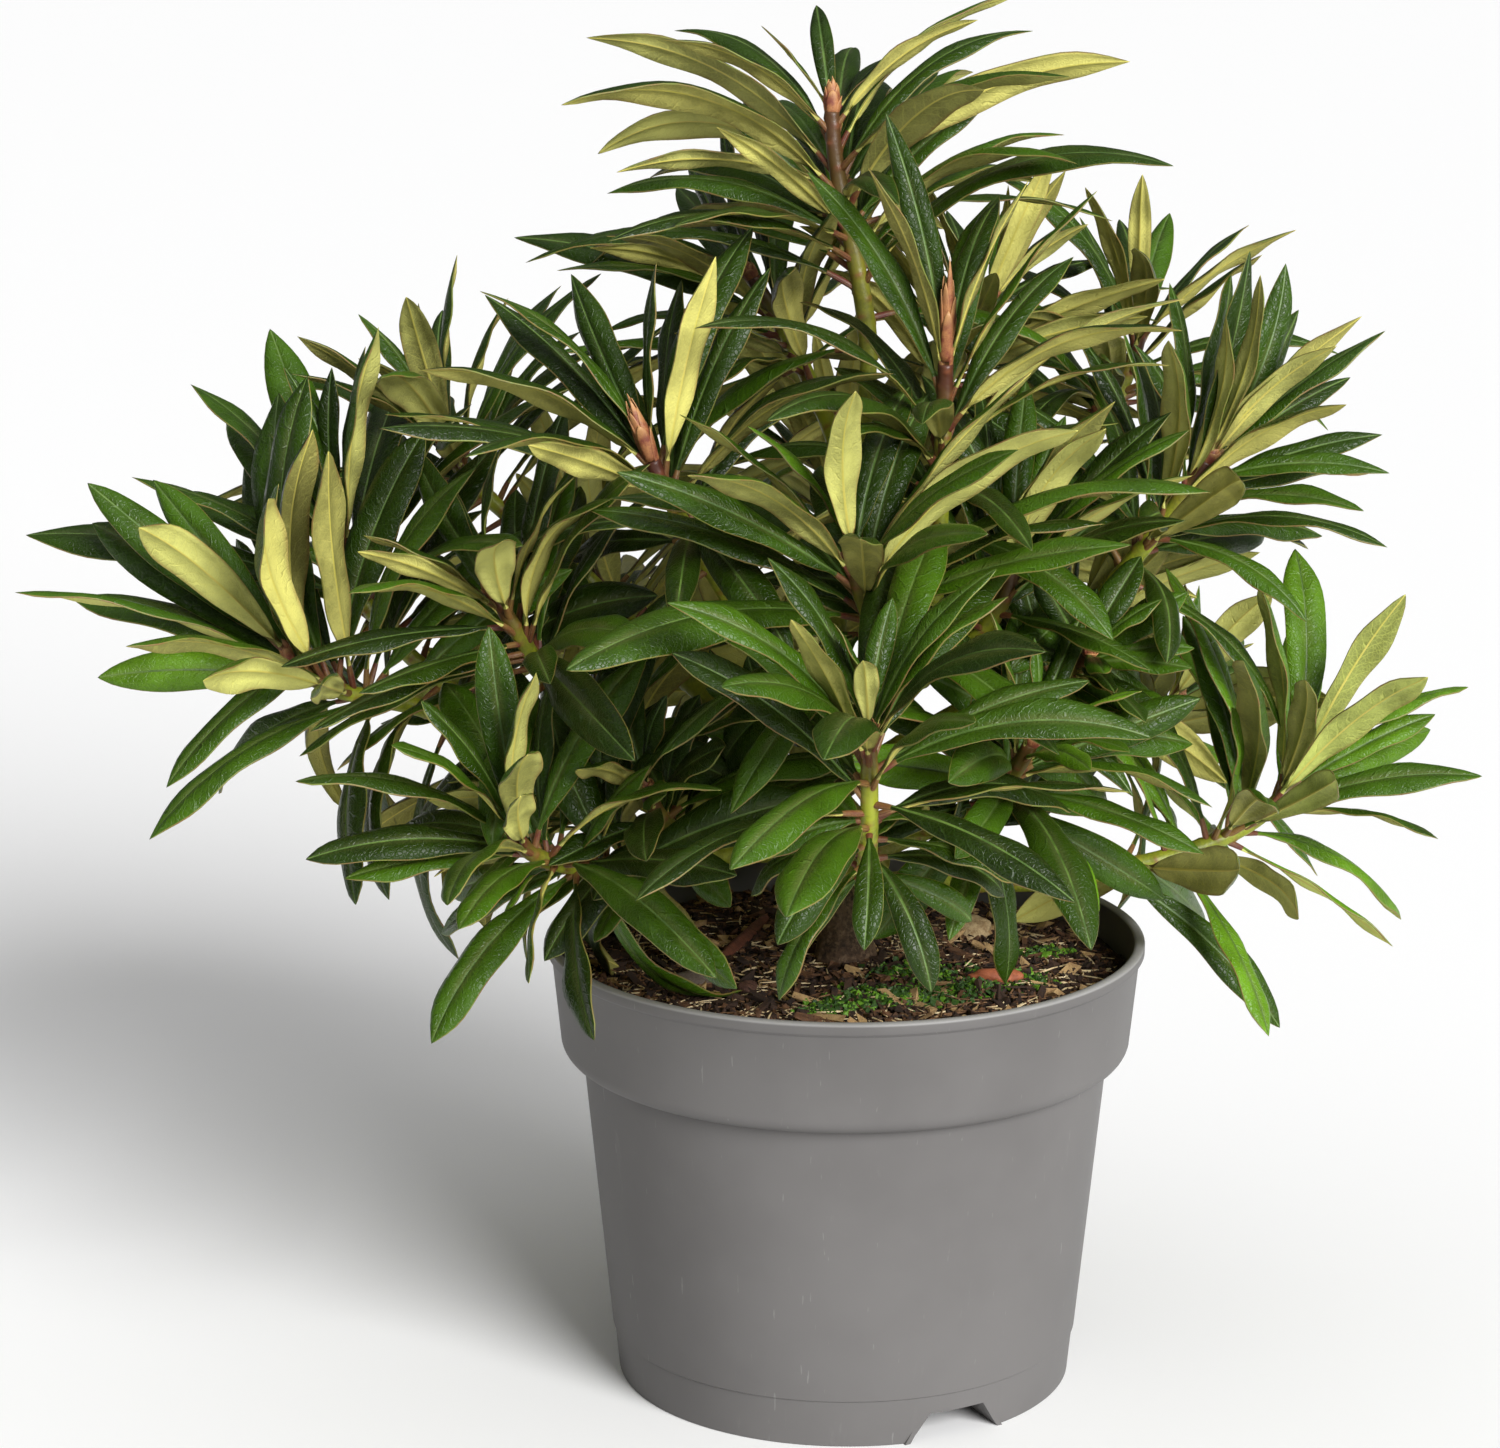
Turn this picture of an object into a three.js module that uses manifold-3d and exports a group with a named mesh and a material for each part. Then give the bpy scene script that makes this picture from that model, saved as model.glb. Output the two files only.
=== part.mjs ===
// A potted rhododendron: a round nursery pot with its root ball, a short trunk, boughs, and a mass of
// lance-shaped leaves round the tip of every shoot. Millimetres, +Z up, floor at z = 0.
import * as THREE from "three";
import Module from "manifold-3d";

const wasm = await Module();
wasm.setup();

// ---------------------------------------------------------------- driving dimensions
const clearance = 0.3; // gap between one solid and the next
const tidyStep = 0.12; // corners closer than this to a straight edge or flat face are dropped

const pot = {
  height: 174.4,
  rimRadius: 115,
  rimDepth: 45, // height of the collar under the rim
  collarFootRadius: 109.8,
  lipHeight: 5,
  lipProud: 1.8,
  shoulderRadius: 6.5,
  footRadius: 88.8,
  flare: 0.0973, // outward slope of the body
  wall: 2.2,
  footRing: 18.5, // height of the stepped ring at the foot
  footStep: 0.7,
  floorUnderside: 11.5,
  edge: 1, // bevel at the top of the lip
  sides: 40,
};

const notch = {
  bearings: [-62.3, 117.7],
  widthBelow: 38,
  widthAbove: 23,
  ribLength: 20,
  ribSink: 3.1, // how far a rib stays inside the foot's outer face
  ribRise: 0.5, // how far a rib runs up into the floor
  overrun: 5, // how far the slot runs in past its ribs
  skim: 0.001, // how far it starts under the foot, so that its mouth is open
};

const soil = { belowRim: 14, mound: 3, flatRadius: 22, shoulder: 0.7, sides: 26, gap: 0.65 };

const trunkSize = {
  bearing: 180,
  lean: 13,
  top: 236,
  foot: 8.4,
  neck: 6.6,
  flare: 4.5, // added radius at the soil
  flareFade: 6,
  bow: 0.35,
  sides: 10,
  steps: 6,
};

// How a bough leaves its parent: outward is the share of its way that points straight at its tip.
const boughSize = { sides: 6, steps: 5, bow: 0.33, outward: 0.75 };

// A bough's tip stands at a bearing (0 is +X, -90 the front), a reach from the pot's axis and a height over
// the floor, and points up by its rise. It starts a share of the way along its parent.
const boughs = [
  {
    name: "bough_leader", from: "trunk", share: 1,
    bearing: 40, reach: 10, height: 396, rise: 88, thick: 5.6, thin: 3.4,
  },
  {
    name: "bough_right_high", from: "trunk", share: 0.8,
    bearing: -7, reach: 86, height: 297, rise: 50, thick: 5.2, thin: 3.7,
  },
  {
    name: "bough_front_high", from: "trunk", share: 0.9,
    bearing: -63, reach: 66, height: 318, rise: 80, thick: 5, thin: 3.6,
  },
  {
    name: "bough_front_left", from: "trunk", share: 0.95,
    bearing: -150, reach: 42, height: 296, rise: 62, thick: 4.8, thin: 3.6,
  },
  {
    name: "bough_left", from: "trunk", share: 0.78,
    bearing: 178, reach: 148, height: 256, rise: 38, thick: 5.4, thin: 3.4,
  },
  {
    name: "bough_left_low", from: "trunk", share: 0.55,
    bearing: -144, reach: 98, height: 217, rise: 4, thick: 4.8, thin: 3.4,
  },
  {
    name: "bough_front_low", from: "trunk", share: 0.62,
    bearing: -88, reach: 122, height: 232, rise: 25, thick: 4.8, thin: 3.6,
  },
  {
    name: "bough_right_low", from: "trunk", share: 0.35,
    bearing: -16, reach: 88, height: 203, rise: 14, thick: 4.8, thin: 3.4,
  },
  {
    name: "bough_front_right", from: "trunk", share: 0.7,
    bearing: -48, reach: 68, height: 236, rise: 42, thick: 4.4, thin: 3.2,
  },
  {
    name: "bough_back_left", from: "trunk", share: 0.86,
    bearing: 150, reach: 104, height: 292, rise: 45, thick: 5, thin: 3.4,
  },
  {
    name: "bough_back_right", from: "trunk", share: 0.9,
    bearing: 36, reach: 82, height: 312, rise: 55, thick: 5, thin: 3.4,
  },
  {
    name: "bough_back", from: "trunk", share: 0.72,
    bearing: 92, reach: 84, height: 268, rise: 42, thick: 5, thin: 3.4,
  },
  {
    name: "bough_back_low", from: "trunk", share: 0.4,
    bearing: 48, reach: 104, height: 212, rise: 18, thick: 4.6, thin: 3.2,
  },
];

// A shoot leaves its bough a share of the way along it and points at its tip along its heading and rise. It
// carries whorls of leaves, each starting below the tip and spreading over a span of stem: the lowest leaf
// stands open from the stem, the last one inner, and each arches over. Older leaves follow further down.
// A shoot that is bare on one side has lost its inner leaves there. A whorl's backTurn is how far its leaves
// have turned their upper side to the back, or to the front where it is below zero.
const shoots = [
  {
    name: "leaves_top", from: "bough_leader", share: 1,
    bearing: 122, reach: 12, height: 488, heading: 93, rise: 85, older: 2, bare: -90,
    whorls: [
      {
        below: 0, span: 40, leaves: 22, length: 116,
        open: 54, inner: 32, least: 0.35, arch: 52, seed: 456, backTurn: 20,
      },
      {
        below: 43, span: 26, leaves: 20, length: 128,
        open: 54, inner: 40, least: 0.5, arch: 58, seed: 46, backTurn: -6,
      },
    ],
  },
  {
    name: "leaves_front_right_high", from: "bough_front_high", share: 1, bud: 44,
    bearing: -61, reach: 69, height: 405, heading: -84, rise: 82, older: 2, bare: -90,
    whorls: [
      {
        below: 0, span: 43, leaves: 17, length: 104,
        open: 50, inner: 18, least: 0.8, arch: 41, seed: 2, backTurn: 4,
      },
    ],
  },
  {
    name: "leaves_front_left_high", from: "bough_front_left", share: 1, bud: 30,
    bearing: -145, reach: 88, height: 368, heading: -167, rise: 69, older: 4, bare: -75,
    whorls: [
      {
        below: 0, span: 20, leaves: 18, length: 106,
        open: 56, inner: 20, least: 0.76, arch: 18, seed: 1755, backTurn: 6,
      },
    ],
  },
  {
    name: "leaves_front_middle", from: "bough_front_high", share: 0.62,
    bearing: -90, reach: 95, height: 342, heading: -154, rise: 84, older: 3,
    whorls: [
      {
        below: 0, span: 36, leaves: 15, length: 124,
        open: 67, inner: 22, least: 0.54, arch: 36, seed: 114, backTurn: 6,
      },
    ],
  },
  {
    name: "leaves_front_low", from: "bough_front_low", share: 1,
    bearing: -88.5, reach: 150, height: 292, heading: -106, rise: 77, older: 3,
    whorls: [
      {
        below: 0, span: 19, leaves: 13, length: 113,
        open: 54, inner: 14, least: 0.36, arch: 48, seed: 779,
      },
      {
        below: 36, span: 22, leaves: 11, length: 61, wide: 1.3,
        open: 88, inner: 100, least: 0.7, arch: 55, seed: 1299,
      },
    ],
  },
  {
    name: "leaves_right_high", from: "bough_right_high", share: 1,
    bearing: -8.6, reach: 134, height: 362, heading: 9, rise: 56, older: 7,
    whorls: [
      {
        below: 0, span: 45, leaves: 22, length: 94,
        open: 48, inner: 8, least: 0.8, arch: 25, seed: 1317, backTurn: -26,
      },
    ],
  },
  {
    name: "leaves_right_low", from: "bough_right_low", share: 1,
    bearing: -3.5, reach: 171, height: 242, heading: 22, rise: 66, older: 0,
    whorls: [
      {
        below: 0, span: 46, leaves: 12, length: 101,
        open: 54, inner: 18, least: 0.8, arch: 23, seed: 371, backTurn: -34,
      },
      {
        below: 56, span: 10, leaves: 4, length: 86,
        open: 105, inner: 80, least: 1, arch: 23, seed: 536, backTurn: -34,
      },
      {
        below: 74, span: 10, leaves: 4, length: 100,
        open: 40, inner: 80, least: 1, arch: 23, seed: 779, backTurn: -34,
      },
    ],
  },
  {
    name: "leaves_far_left", from: "bough_left", share: 1,
    bearing: -174.5, reach: 209, height: 288, heading: -179, rise: 59, older: 5,
    whorls: [
      {
        below: 0, span: 35, leaves: 15, length: 117,
        open: 45, inner: 25, least: 0.8, arch: 24, seed: 908, backTurn: -24,
      },
    ],
  },
  {
    name: "leaves_left_high", from: "bough_left", share: 0.72,
    bearing: 177, reach: 192, height: 328, heading: 164, rise: 84, older: 5, bare: -90,
    whorls: [
      {
        below: 0, span: 28, leaves: 16, length: 126,
        open: 78, inner: 8, least: 0.51, arch: 11, seed: 1448, backTurn: -10,
      },
    ],
  },
  {
    name: "leaves_left_middle", from: "bough_left", share: 0.5,
    bearing: -163, reach: 137, height: 316, heading: -177, rise: 58, older: 4,
    whorls: [
      {
        below: 0, span: 32, leaves: 14, length: 104,
        open: 88, inner: 18, least: 0.44, arch: 14, seed: 441,
      },
    ],
  },
  {
    name: "leaves_left_front_low", from: "bough_left_low", share: 1,
    bearing: -143.6, reach: 152, height: 240, heading: -122, rise: 64, older: 4,
    whorls: [
      {
        below: 0, span: 32, leaves: 14, length: 96,
        open: 65, inner: 10, least: 0.7, arch: 51, seed: 444,
      },
      {
        below: 36, span: 12, leaves: 5, length: 90,
        open: 116, inner: 76, least: 0.87, arch: 58, seed: 796,
      },
    ],
  },
  {
    name: "leaves_left_low", from: "bough_left_low", share: 0.72,
    bearing: -164, reach: 110, height: 240, heading: -164, rise: 62, older: 3,
    whorls: [
      {
        below: 0, span: 24, leaves: 12, length: 88,
        open: 80, inner: 18, least: 0.45, arch: 34, seed: 31,
      },
    ],
  },
  {
    name: "leaves_front_right_middle", from: "bough_front_high", share: 0.4,
    bearing: -46, reach: 84, height: 330, heading: -54, rise: 82, older: 3,
    whorls: [
      {
        below: 0, span: 27, leaves: 13, length: 108,
        open: 50, inner: 22, least: 0.7, arch: 18, seed: 879,
      },
    ],
  },
  {
    name: "leaves_front_right_low", from: "bough_front_right", share: 1,
    bearing: -55, reach: 112, height: 273, heading: -42, rise: 62, older: 5,
    whorls: [
      {
        below: 0, span: 38, leaves: 13, length: 90,
        open: 64, inner: 22, least: 0.4, arch: 47, seed: 810,
      },
    ],
  },
  {
    name: "leaves_middle_left", from: "bough_left_low", share: 0.6,
    bearing: -138.7, reach: 99, height: 248, heading: -117, rise: 62, older: 2,
    whorls: [
      {
        below: 0, span: 22, leaves: 11, length: 69, wide: 1.3,
        open: 75, inner: 31, least: 0.76, arch: 42, seed: 1663,
      },
    ],
  },
  {
    name: "leaves_middle_right", from: "bough_right_high", share: 0.5,
    bearing: -36.1, reach: 107, height: 300, heading: -75, rise: 44, older: 2,
    whorls: [
      {
        below: 0, span: 34, leaves: 12, length: 56, wide: 1.4,
        open: 59, inner: 36, least: 0.6, arch: 17, seed: 1563,
      },
    ],
  },
  {
    name: "leaves_middle", from: "bough_front_left", share: 0.5,
    bearing: -136.8, reach: 42, height: 262, heading: -87, rise: 16, older: 2,
    whorls: [
      {
        below: 0, span: 28, leaves: 11, length: 48, wide: 1.4,
        open: 56, inner: 19, least: 0.6, arch: 23, seed: 2387,
      },
    ],
  },
  {
    name: "leaves_back_left_high", from: "bough_back_left", share: 1,
    bearing: 160, reach: 168, height: 360, heading: 160, rise: 64, older: 3,
    whorls: [
      {
        below: 0, span: 28, leaves: 14, length: 108,
        open: 68, inner: 20, least: 0.45, arch: 30, seed: 41,
      },
    ],
  },
  {
    name: "leaves_back_top", from: "bough_leader", share: 0.66,
    bearing: 121, reach: 70, height: 420, heading: 184, rise: 58, older: 3,
    whorls: [
      {
        below: 0, span: 32, leaves: 14, length: 108,
        open: 48, inner: 32, least: 0.5, arch: 13, seed: 839,
      },
    ],
  },
  {
    name: "leaves_back_right_top", from: "bough_leader", share: 0.6,
    bearing: 50, reach: 88, height: 412, heading: 40, rise: 62, older: 3,
    whorls: [
      {
        below: 0, span: 38, leaves: 13, length: 90,
        open: 64, inner: 22, least: 0.46, arch: 18, seed: 1049,
      },
    ],
  },
  {
    name: "leaves_back_right_high", from: "bough_back_right", share: 1,
    bearing: 31, reach: 134, height: 398, heading: 37, rise: 78, older: 4,
    whorls: [
      {
        below: 0, span: 36, leaves: 15, length: 100,
        open: 86, inner: 30, least: 0.75, arch: 36, seed: 2982, backTurn: -14,
      },
    ],
  },
  {
    name: "leaves_right_middle", from: "bough_right_high", share: 0.66,
    bearing: 24, reach: 100, height: 292, heading: 24, rise: 50, older: 3,
    whorls: [
      {
        below: 0, span: 26, leaves: 12, length: 98,
        open: 76, inner: 20, least: 0.45, arch: 30, seed: 61,
      },
    ],
  },
  {
    name: "leaves_back_left_middle", from: "bough_back_left", share: 0.64,
    bearing: 136, reach: 140, height: 300, heading: 136, rise: 52, older: 3,
    whorls: [
      {
        below: 0, span: 26, leaves: 12, length: 102,
        open: 74, inner: 20, least: 0.45, arch: 32, seed: 71,
      },
    ],
  },
  {
    name: "leaves_back_middle", from: "bough_back", share: 1,
    bearing: 90, reach: 130, height: 336, heading: 90, rise: 66, older: 3,
    whorls: [
      {
        below: 0, span: 28, leaves: 14, length: 108,
        open: 72, inner: 20, least: 0.45, arch: 32, seed: 83,
      },
    ],
  },
  {
    name: "leaves_back_right_middle", from: "bough_back_right", share: 0.6,
    bearing: 56, reach: 136, height: 318, heading: 56, rise: 56, older: 3,
    whorls: [
      {
        below: 0, span: 26, leaves: 12, length: 104,
        open: 74, inner: 20, least: 0.45, arch: 30, seed: 91,
      },
    ],
  },
  {
    name: "leaves_back_low", from: "bough_back", share: 0.6,
    bearing: 108, reach: 142, height: 252, heading: 108, rise: 40, older: 3,
    whorls: [
      {
        below: 0, span: 24, leaves: 11, length: 98,
        open: 76, inner: 20, least: 0.45, arch: 32, seed: 37,
      },
    ],
  },
  {
    name: "leaves_back_left_low", from: "bough_left", share: 0.36,
    bearing: 158, reach: 138, height: 240, heading: 158, rise: 40, older: 3,
    whorls: [
      {
        below: 0, span: 24, leaves: 10, length: 94,
        open: 76, inner: 20, least: 0.45, arch: 32, seed: 53,
      },
    ],
  },
  {
    name: "leaves_back_right_low", from: "bough_back_low", share: 1,
    bearing: 34, reach: 162, height: 246, heading: 34, rise: 48, older: 3,
    whorls: [
      {
        below: 0, span: 24, leaves: 11, length: 98,
        open: 76, inner: 20, least: 0.45, arch: 32, seed: 67,
      },
    ],
  },
];

// A stem that ends its bough runs straight on, and one from its side turns outward.
const stemSize = {
  thick: 3.9,
  thin: 3.1,
  sides: 4,
  steps: 5,
  bow: 0.33,
  outwardAtTip: 0.2,
  outwardAtSide: 0.7,
};
const bud = { length: 11, radius: 3.2, neck: 0.8, sunk: 2, widest: 0.35 };
const jitter = { turn: 14, open: 9, arch: 14, length: 0.12, sway: 0.1, roll: 30, width: 0.14 };
const whorlShape = { innerArch: 12, openFade: 0.8, archFade: 1.5, lengthFade: 2, lowest: 0.04 };
const bareSide = { half: 45, from: 0.2 }; // reach either way in degrees, and how high in the whorl it starts
const olderLeaf = { gap: 9, step: 11, open: 88, arch: 56, size: 0.8, width: 1.25, index: 60 };
const leafShape = {
  width: 0.205, // of its length
  petiole: 0.13,
  root: 1.2,
  keel: 1.5,
  leastBend: 0.05,
  front: 0.62, // how fast the outline opens from the stalk
  back: 0.5, // and how fast it closes to the tip
  rings: [0, 0.1, 0.62],
};
const goldenTurn = 137.508;

// Turn and lift that a leaf tries in order until it is clear of its neighbours, at its full length first.
const slightNudges = [[0, 0], [10, 0], [-10, 0], [0, -9], [0, 9], [10, -9], [-10, 9]];
const wideNudges = [
  [20, 0], [-20, 0], [0, -18], [18, 14], [-18, -14],
  [30, 0], [-30, 0], [24, -16], [-24, 16],
];
const shortNudges = [[0, 0], [14, 0], [-14, 0], [0, -14], [0, 14]];
const shortLeaf = 0.76;
const nudges = [
  ...[...slightNudges, ...wideNudges].map((nudge) => [...nudge, 1]),
  ...shortNudges.map((nudge) => [...nudge, shortLeaf]),
];

// ---------------------------------------------------------------- colours and finishes
function finish(color, roughness) {
  return new THREE.MeshStandardMaterial({ color, roughness, metalness: 0, flatShading: true });
}

const materials = {
  pot: finish(0x6c6d6f, 0.5),
  soil: finish(0x3f2a1c, 0.95),
  bark: finish(0x6b4a34, 0.8),
  leaves: finish(0x2f5a2c, 0.4),
};

// ---------------------------------------------------------------- small helpers
const radians = THREE.MathUtils.degToRad;
const lerp = THREE.MathUtils.lerp;
const up = new THREE.Vector3(0, 0, 1);

// An even value from -1 to 1 that depends only on the two numbers.
function chance(index, salt) {
  const wave = Math.sin(index * 12.9898 + salt * 78.233) * 43758.5453;
  return 2 * (wave - Math.floor(wave)) - 1;
}

function direction(bearing, rise) {
  const flat = Math.cos(radians(rise));
  return new THREE.Vector3(
    flat * Math.cos(radians(bearing)),
    flat * Math.sin(radians(bearing)),
    Math.sin(radians(rise)),
  );
}

function place(bearing, reach, height) {
  return direction(bearing, 0).multiplyScalar(reach).setZ(height);
}

// A closed mesh as a solid: positions that coincide are merged, and flat triangles at a pole are dropped.
function solidOf(positions, triangles) {
  const seen = new Map();
  const points = [];
  const merged = positions.map((p) => {
    const key = [p.x, p.y, p.z].map((v) => Math.round(v * 1e4)).join();
    if (!seen.has(key)) seen.set(key, points.push(p.x, p.y, p.z) / 3 - 1);
    return seen.get(key);
  });
  const kept = triangles
    .map((t) => t.map((i) => merged[i]))
    .filter(([a, b, c]) => a !== b && b !== c && c !== a);
  return new wasm.Manifold(
    new wasm.Mesh({
      numProp: 3,
      vertProperties: new Float32Array(points),
      triVerts: new Uint32Array(kept.flat()),
    }),
  );
}

function solidOfGeometry(geometry) {
  const flat = geometry.index ? geometry.toNonIndexed() : geometry;
  const at = flat.getAttribute("position");
  const pointAt = (_, i) => new THREE.Vector3().fromBufferAttribute(at, i);
  const positions = Array.from({ length: at.count }, pointAt);
  const triangles = Array.from({ length: at.count / 3 }, (_, i) => [3 * i, 3 * i + 1, 3 * i + 2]);
  return solidOf(positions, triangles);
}

function geometryOf(solid) {
  const { numProp, numVert, vertProperties, triVerts } = solid.getMesh();
  const position = new Float32Array(numVert * 3);
  for (let i = 0; i < numVert; i++) {
    position.set(vertProperties.subarray(i * numProp, i * numProp + 3), i * 3);
  }
  const geometry = new THREE.BufferGeometry();
  geometry.setAttribute("position", new THREE.BufferAttribute(position, 3));
  geometry.setIndex(new THREE.BufferAttribute(new Uint32Array(triVerts), 1));
  geometry.computeVertexNormals();
  return geometry;
}

function largestBody(solid) {
  return solid.decompose().sort((a, b) => b.volume() - a.volume())[0];
}

// Closed rings of points, joined one to the next, with a point or a flat fan at each end.
function loft(rings) {
  const positions = rings.flat();
  const starts = rings.map((_, i) => rings.slice(0, i).reduce((sum, ring) => sum + ring.length, 0));
  const triangles = [];
  const sides = Math.max(...rings.map((ring) => ring.length));
  for (let k = 0; k + 1 < rings.length; k++) {
    for (let i = 0; i < sides; i++) {
      const j = (i + 1) % sides;
      const lower = (n) => starts[k] + (rings[k].length === 1 ? 0 : n);
      const upper = (n) => starts[k + 1] + (rings[k + 1].length === 1 ? 0 : n);
      triangles.push([lower(i), lower(j), upper(j)], [lower(i), upper(j), upper(i)]);
    }
  }
  const last = starts[rings.length - 1];
  const lastSides = rings[rings.length - 1].length;
  for (let i = 1; i + 1 < rings[0].length; i++) triangles.push([0, i + 1, i]);
  for (let i = 1; i + 1 < lastSides; i++) triangles.push([last, last + i, last + i + 1]);
  return solidOf(positions, triangles);
}

function lathe(profile, sides) {
  const points = profile.map(([radius, z]) => new THREE.Vector2(radius, z));
  return solidOfGeometry(new THREE.LatheGeometry(points, sides).rotateX(Math.PI / 2));
}

// ---------------------------------------------------------------- pot and root ball
const outerBody = (z) => pot.footRadius + pot.flare * z;
const collarFoot = pot.height - pot.rimDepth;
const rimInner = pot.rimRadius - pot.lipProud - pot.wall;
const collarInner = pot.collarFootRadius - pot.wall;
const floorTop = pot.floorUnderside + pot.wall;

// Outer wall from the foot up, over the lip and down the inner wall to the floor.
function potProfile() {
  const r = pot.shoulderRadius;
  const shoulder = [0.15, 0.6, 1].map((turn) => [
    pot.collarFootRadius - r + r * Math.sin((turn * Math.PI) / 2),
    collarFoot + r - r * Math.cos((turn * Math.PI) / 2),
  ]);
  const lipFoot = pot.height - pot.lipHeight;
  return [
    [0, pot.floorUnderside],
    [pot.footRadius - pot.wall, pot.floorUnderside],
    [pot.footRadius - pot.wall, 0],
    [pot.footRadius - pot.footStep, 0],
    [outerBody(pot.footRing) - pot.footStep, pot.footRing],
    [outerBody(pot.footRing), pot.footRing + 0.6],
    [outerBody(collarFoot), collarFoot - 0.2],
    ...shoulder,
    [pot.rimRadius - pot.lipProud, lipFoot - 0.5],
    [pot.rimRadius, lipFoot + 0.8],
    [pot.rimRadius, pot.height - pot.edge],
    [pot.rimRadius - pot.edge, pot.height],
    [rimInner, pot.height],
    [collarInner, collarFoot + r],
    [collarInner - r, collarFoot + pot.wall],
    [outerBody(collarFoot) - pot.wall, collarFoot + pot.wall],
    [outerBody(floorTop) - pot.wall, floorTop],
    [0, floorTop],
  ];
}

// The channel that opens the foot: a tapering slot that runs in under the floor, grown by a margin.
function channel(margin, inner, outer, height) {
  const shape = new THREE.Shape([
    new THREE.Vector2(-notch.widthBelow / 2 - margin, 0),
    new THREE.Vector2(notch.widthBelow / 2 + margin, 0),
    new THREE.Vector2(notch.widthAbove / 2 + margin, height),
    new THREE.Vector2(-notch.widthAbove / 2 - margin, height),
  ]);
  const block = new THREE.ExtrudeGeometry(shape, { depth: outer - inner, bevelEnabled: false });
  return block.rotateX(Math.PI / 2).rotateZ(Math.PI / 2).translate(inner, 0, 0);
}

function makePot() {
  let body = lathe(potProfile(), pot.sides);
  const inner = pot.footRadius - notch.ribLength;
  const outer = pot.footRadius - notch.ribSink;
  for (const bearing of notch.bearings) {
    const ribs = channel(pot.wall, inner, outer, pot.floorUnderside + notch.ribRise);
    body = body.add(solidOfGeometry(ribs.rotateZ(radians(bearing))));
  }
  for (const bearing of notch.bearings) {
    const slot = channel(0, inner - notch.overrun, pot.rimRadius, pot.floorUnderside);
    slot.translate(0, 0, -notch.skim).rotateZ(radians(bearing));
    body = body.subtract(solidOfGeometry(slot));
  }
  return body;
}

const soilEdge = pot.height - soil.belowRim;
const soilTop = soilEdge + soil.mound;

function makeSoil() {
  const r = pot.shoulderRadius;
  const lift = (soilEdge - collarFoot - r) / (pot.rimDepth - r);
  const edgeRadius = lerp(collarInner, rimInner, lift) - soil.gap;
  return lathe([
    [0, floorTop + clearance],
    [outerBody(floorTop) - pot.wall - soil.gap, floorTop + clearance],
    [outerBody(collarFoot) - pot.wall - soil.gap, collarFoot + pot.wall + clearance],
    [collarInner - r - soil.gap, collarFoot + pot.wall + clearance],
    [collarInner - soil.gap, collarFoot + r + clearance],
    [edgeRadius, soilEdge],
    [edgeRadius * soil.shoulder, soilEdge + soil.shoulder * soil.mound],
    [soil.flatRadius, soilTop],
    [0, soilTop],
  ], soil.sides);
}

// ---------------------------------------------------------------- limbs
// A limb is a list of rings along a curve: its centre line, its radius at each step, and its own directions.
function limbLine(start, startWay, end, endWay, bow) {
  const reach = start.distanceTo(end) * bow;
  return new THREE.CubicBezierCurve3(
    start,
    start.clone().addScaledVector(startWay, reach),
    end.clone().addScaledVector(endWay, -reach),
    end,
  );
}

function tube(line, radii, sides, grow = 0) {
  const steps = radii.length - 1;
  let side = new THREE.Vector3(1, 0, 0);
  const rings = radii.map((radius, k) => {
    const at = line.getPoint(k / steps);
    const way = line.getTangent(k / steps);
    side = side.clone().addScaledVector(way, -side.dot(way)).normalize();
    const across = new THREE.Vector3().crossVectors(way, side);
    if (grow) at.addScaledVector(way, k === 0 ? -grow : k === steps ? grow : 0);
    return Array.from({ length: sides }, (_, i) => {
      const turn = (2 * Math.PI * i) / sides;
      return at
        .clone()
        .addScaledVector(side, (radius + grow) * Math.cos(turn))
        .addScaledVector(across, (radius + grow) * Math.sin(turn));
    });
  });
  return loft(rings);
}

const sharesOf = (steps) => Array.from({ length: steps + 1 }, (_, k) => k / steps);

const limbs = new Map(); // name to its line, its solid and the same solid grown by the clearance

function addLimb(name, line, radii, sides, others) {
  let solid = tube(line, radii, sides);
  for (const other of others) solid = solid.subtract(limbs.get(other).grown);
  const body = largestBody(solid);
  limbs.set(name, { line, solid: body, grown: tube(line, radii, sides, clearance) });
}

function makeTrunk() {
  const foot = new THREE.Vector3(0, 0, soilTop + clearance);
  const head = place(trunkSize.bearing, trunkSize.lean, trunkSize.top);
  const line = limbLine(foot, up, head, up, trunkSize.bow);
  const radii = sharesOf(trunkSize.steps).map((share) => {
    const flare = trunkSize.flare * Math.exp(-trunkSize.flareFade * share);
    return lerp(trunkSize.foot, trunkSize.neck, share) + flare;
  });
  addLimb("trunk", line, radii, trunkSize.sides, []);
}

function makeBoughs() {
  for (const bough of boughs) {
    const parent = limbs.get(bough.from).line;
    const start = parent.getPoint(bough.share);
    const end = place(bough.bearing, bough.reach, bough.height);
    const outward = end.clone().sub(start).normalize();
    const startWay = parent.getTangent(bough.share).lerp(outward, boughSize.outward).normalize();
    const endWay = direction(bough.bearing, bough.rise);
    const line = limbLine(start, startWay, end, endWay, boughSize.bow);
    const radii = sharesOf(boughSize.steps).map((share) => lerp(bough.thick, bough.thin, share));
    addLimb(bough.name, line, radii, boughSize.sides, [...limbs.keys()]);
  }
}

// The stem of a shoot, with the pointed bud that ends it.
function stemLine(shoot) {
  const parent = limbs.get(shoot.from).line;
  const start = parent.getPoint(shoot.share);
  const end = place(shoot.bearing, shoot.reach, shoot.height);
  const outward = end.clone().sub(start).normalize();
  const turnOut = shoot.share === 1 ? stemSize.outwardAtTip : stemSize.outwardAtSide;
  const startWay = parent.getTangent(shoot.share).lerp(outward, turnOut).normalize();
  return limbLine(start, startWay, end, direction(shoot.heading, shoot.rise), stemSize.bow);
}

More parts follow.
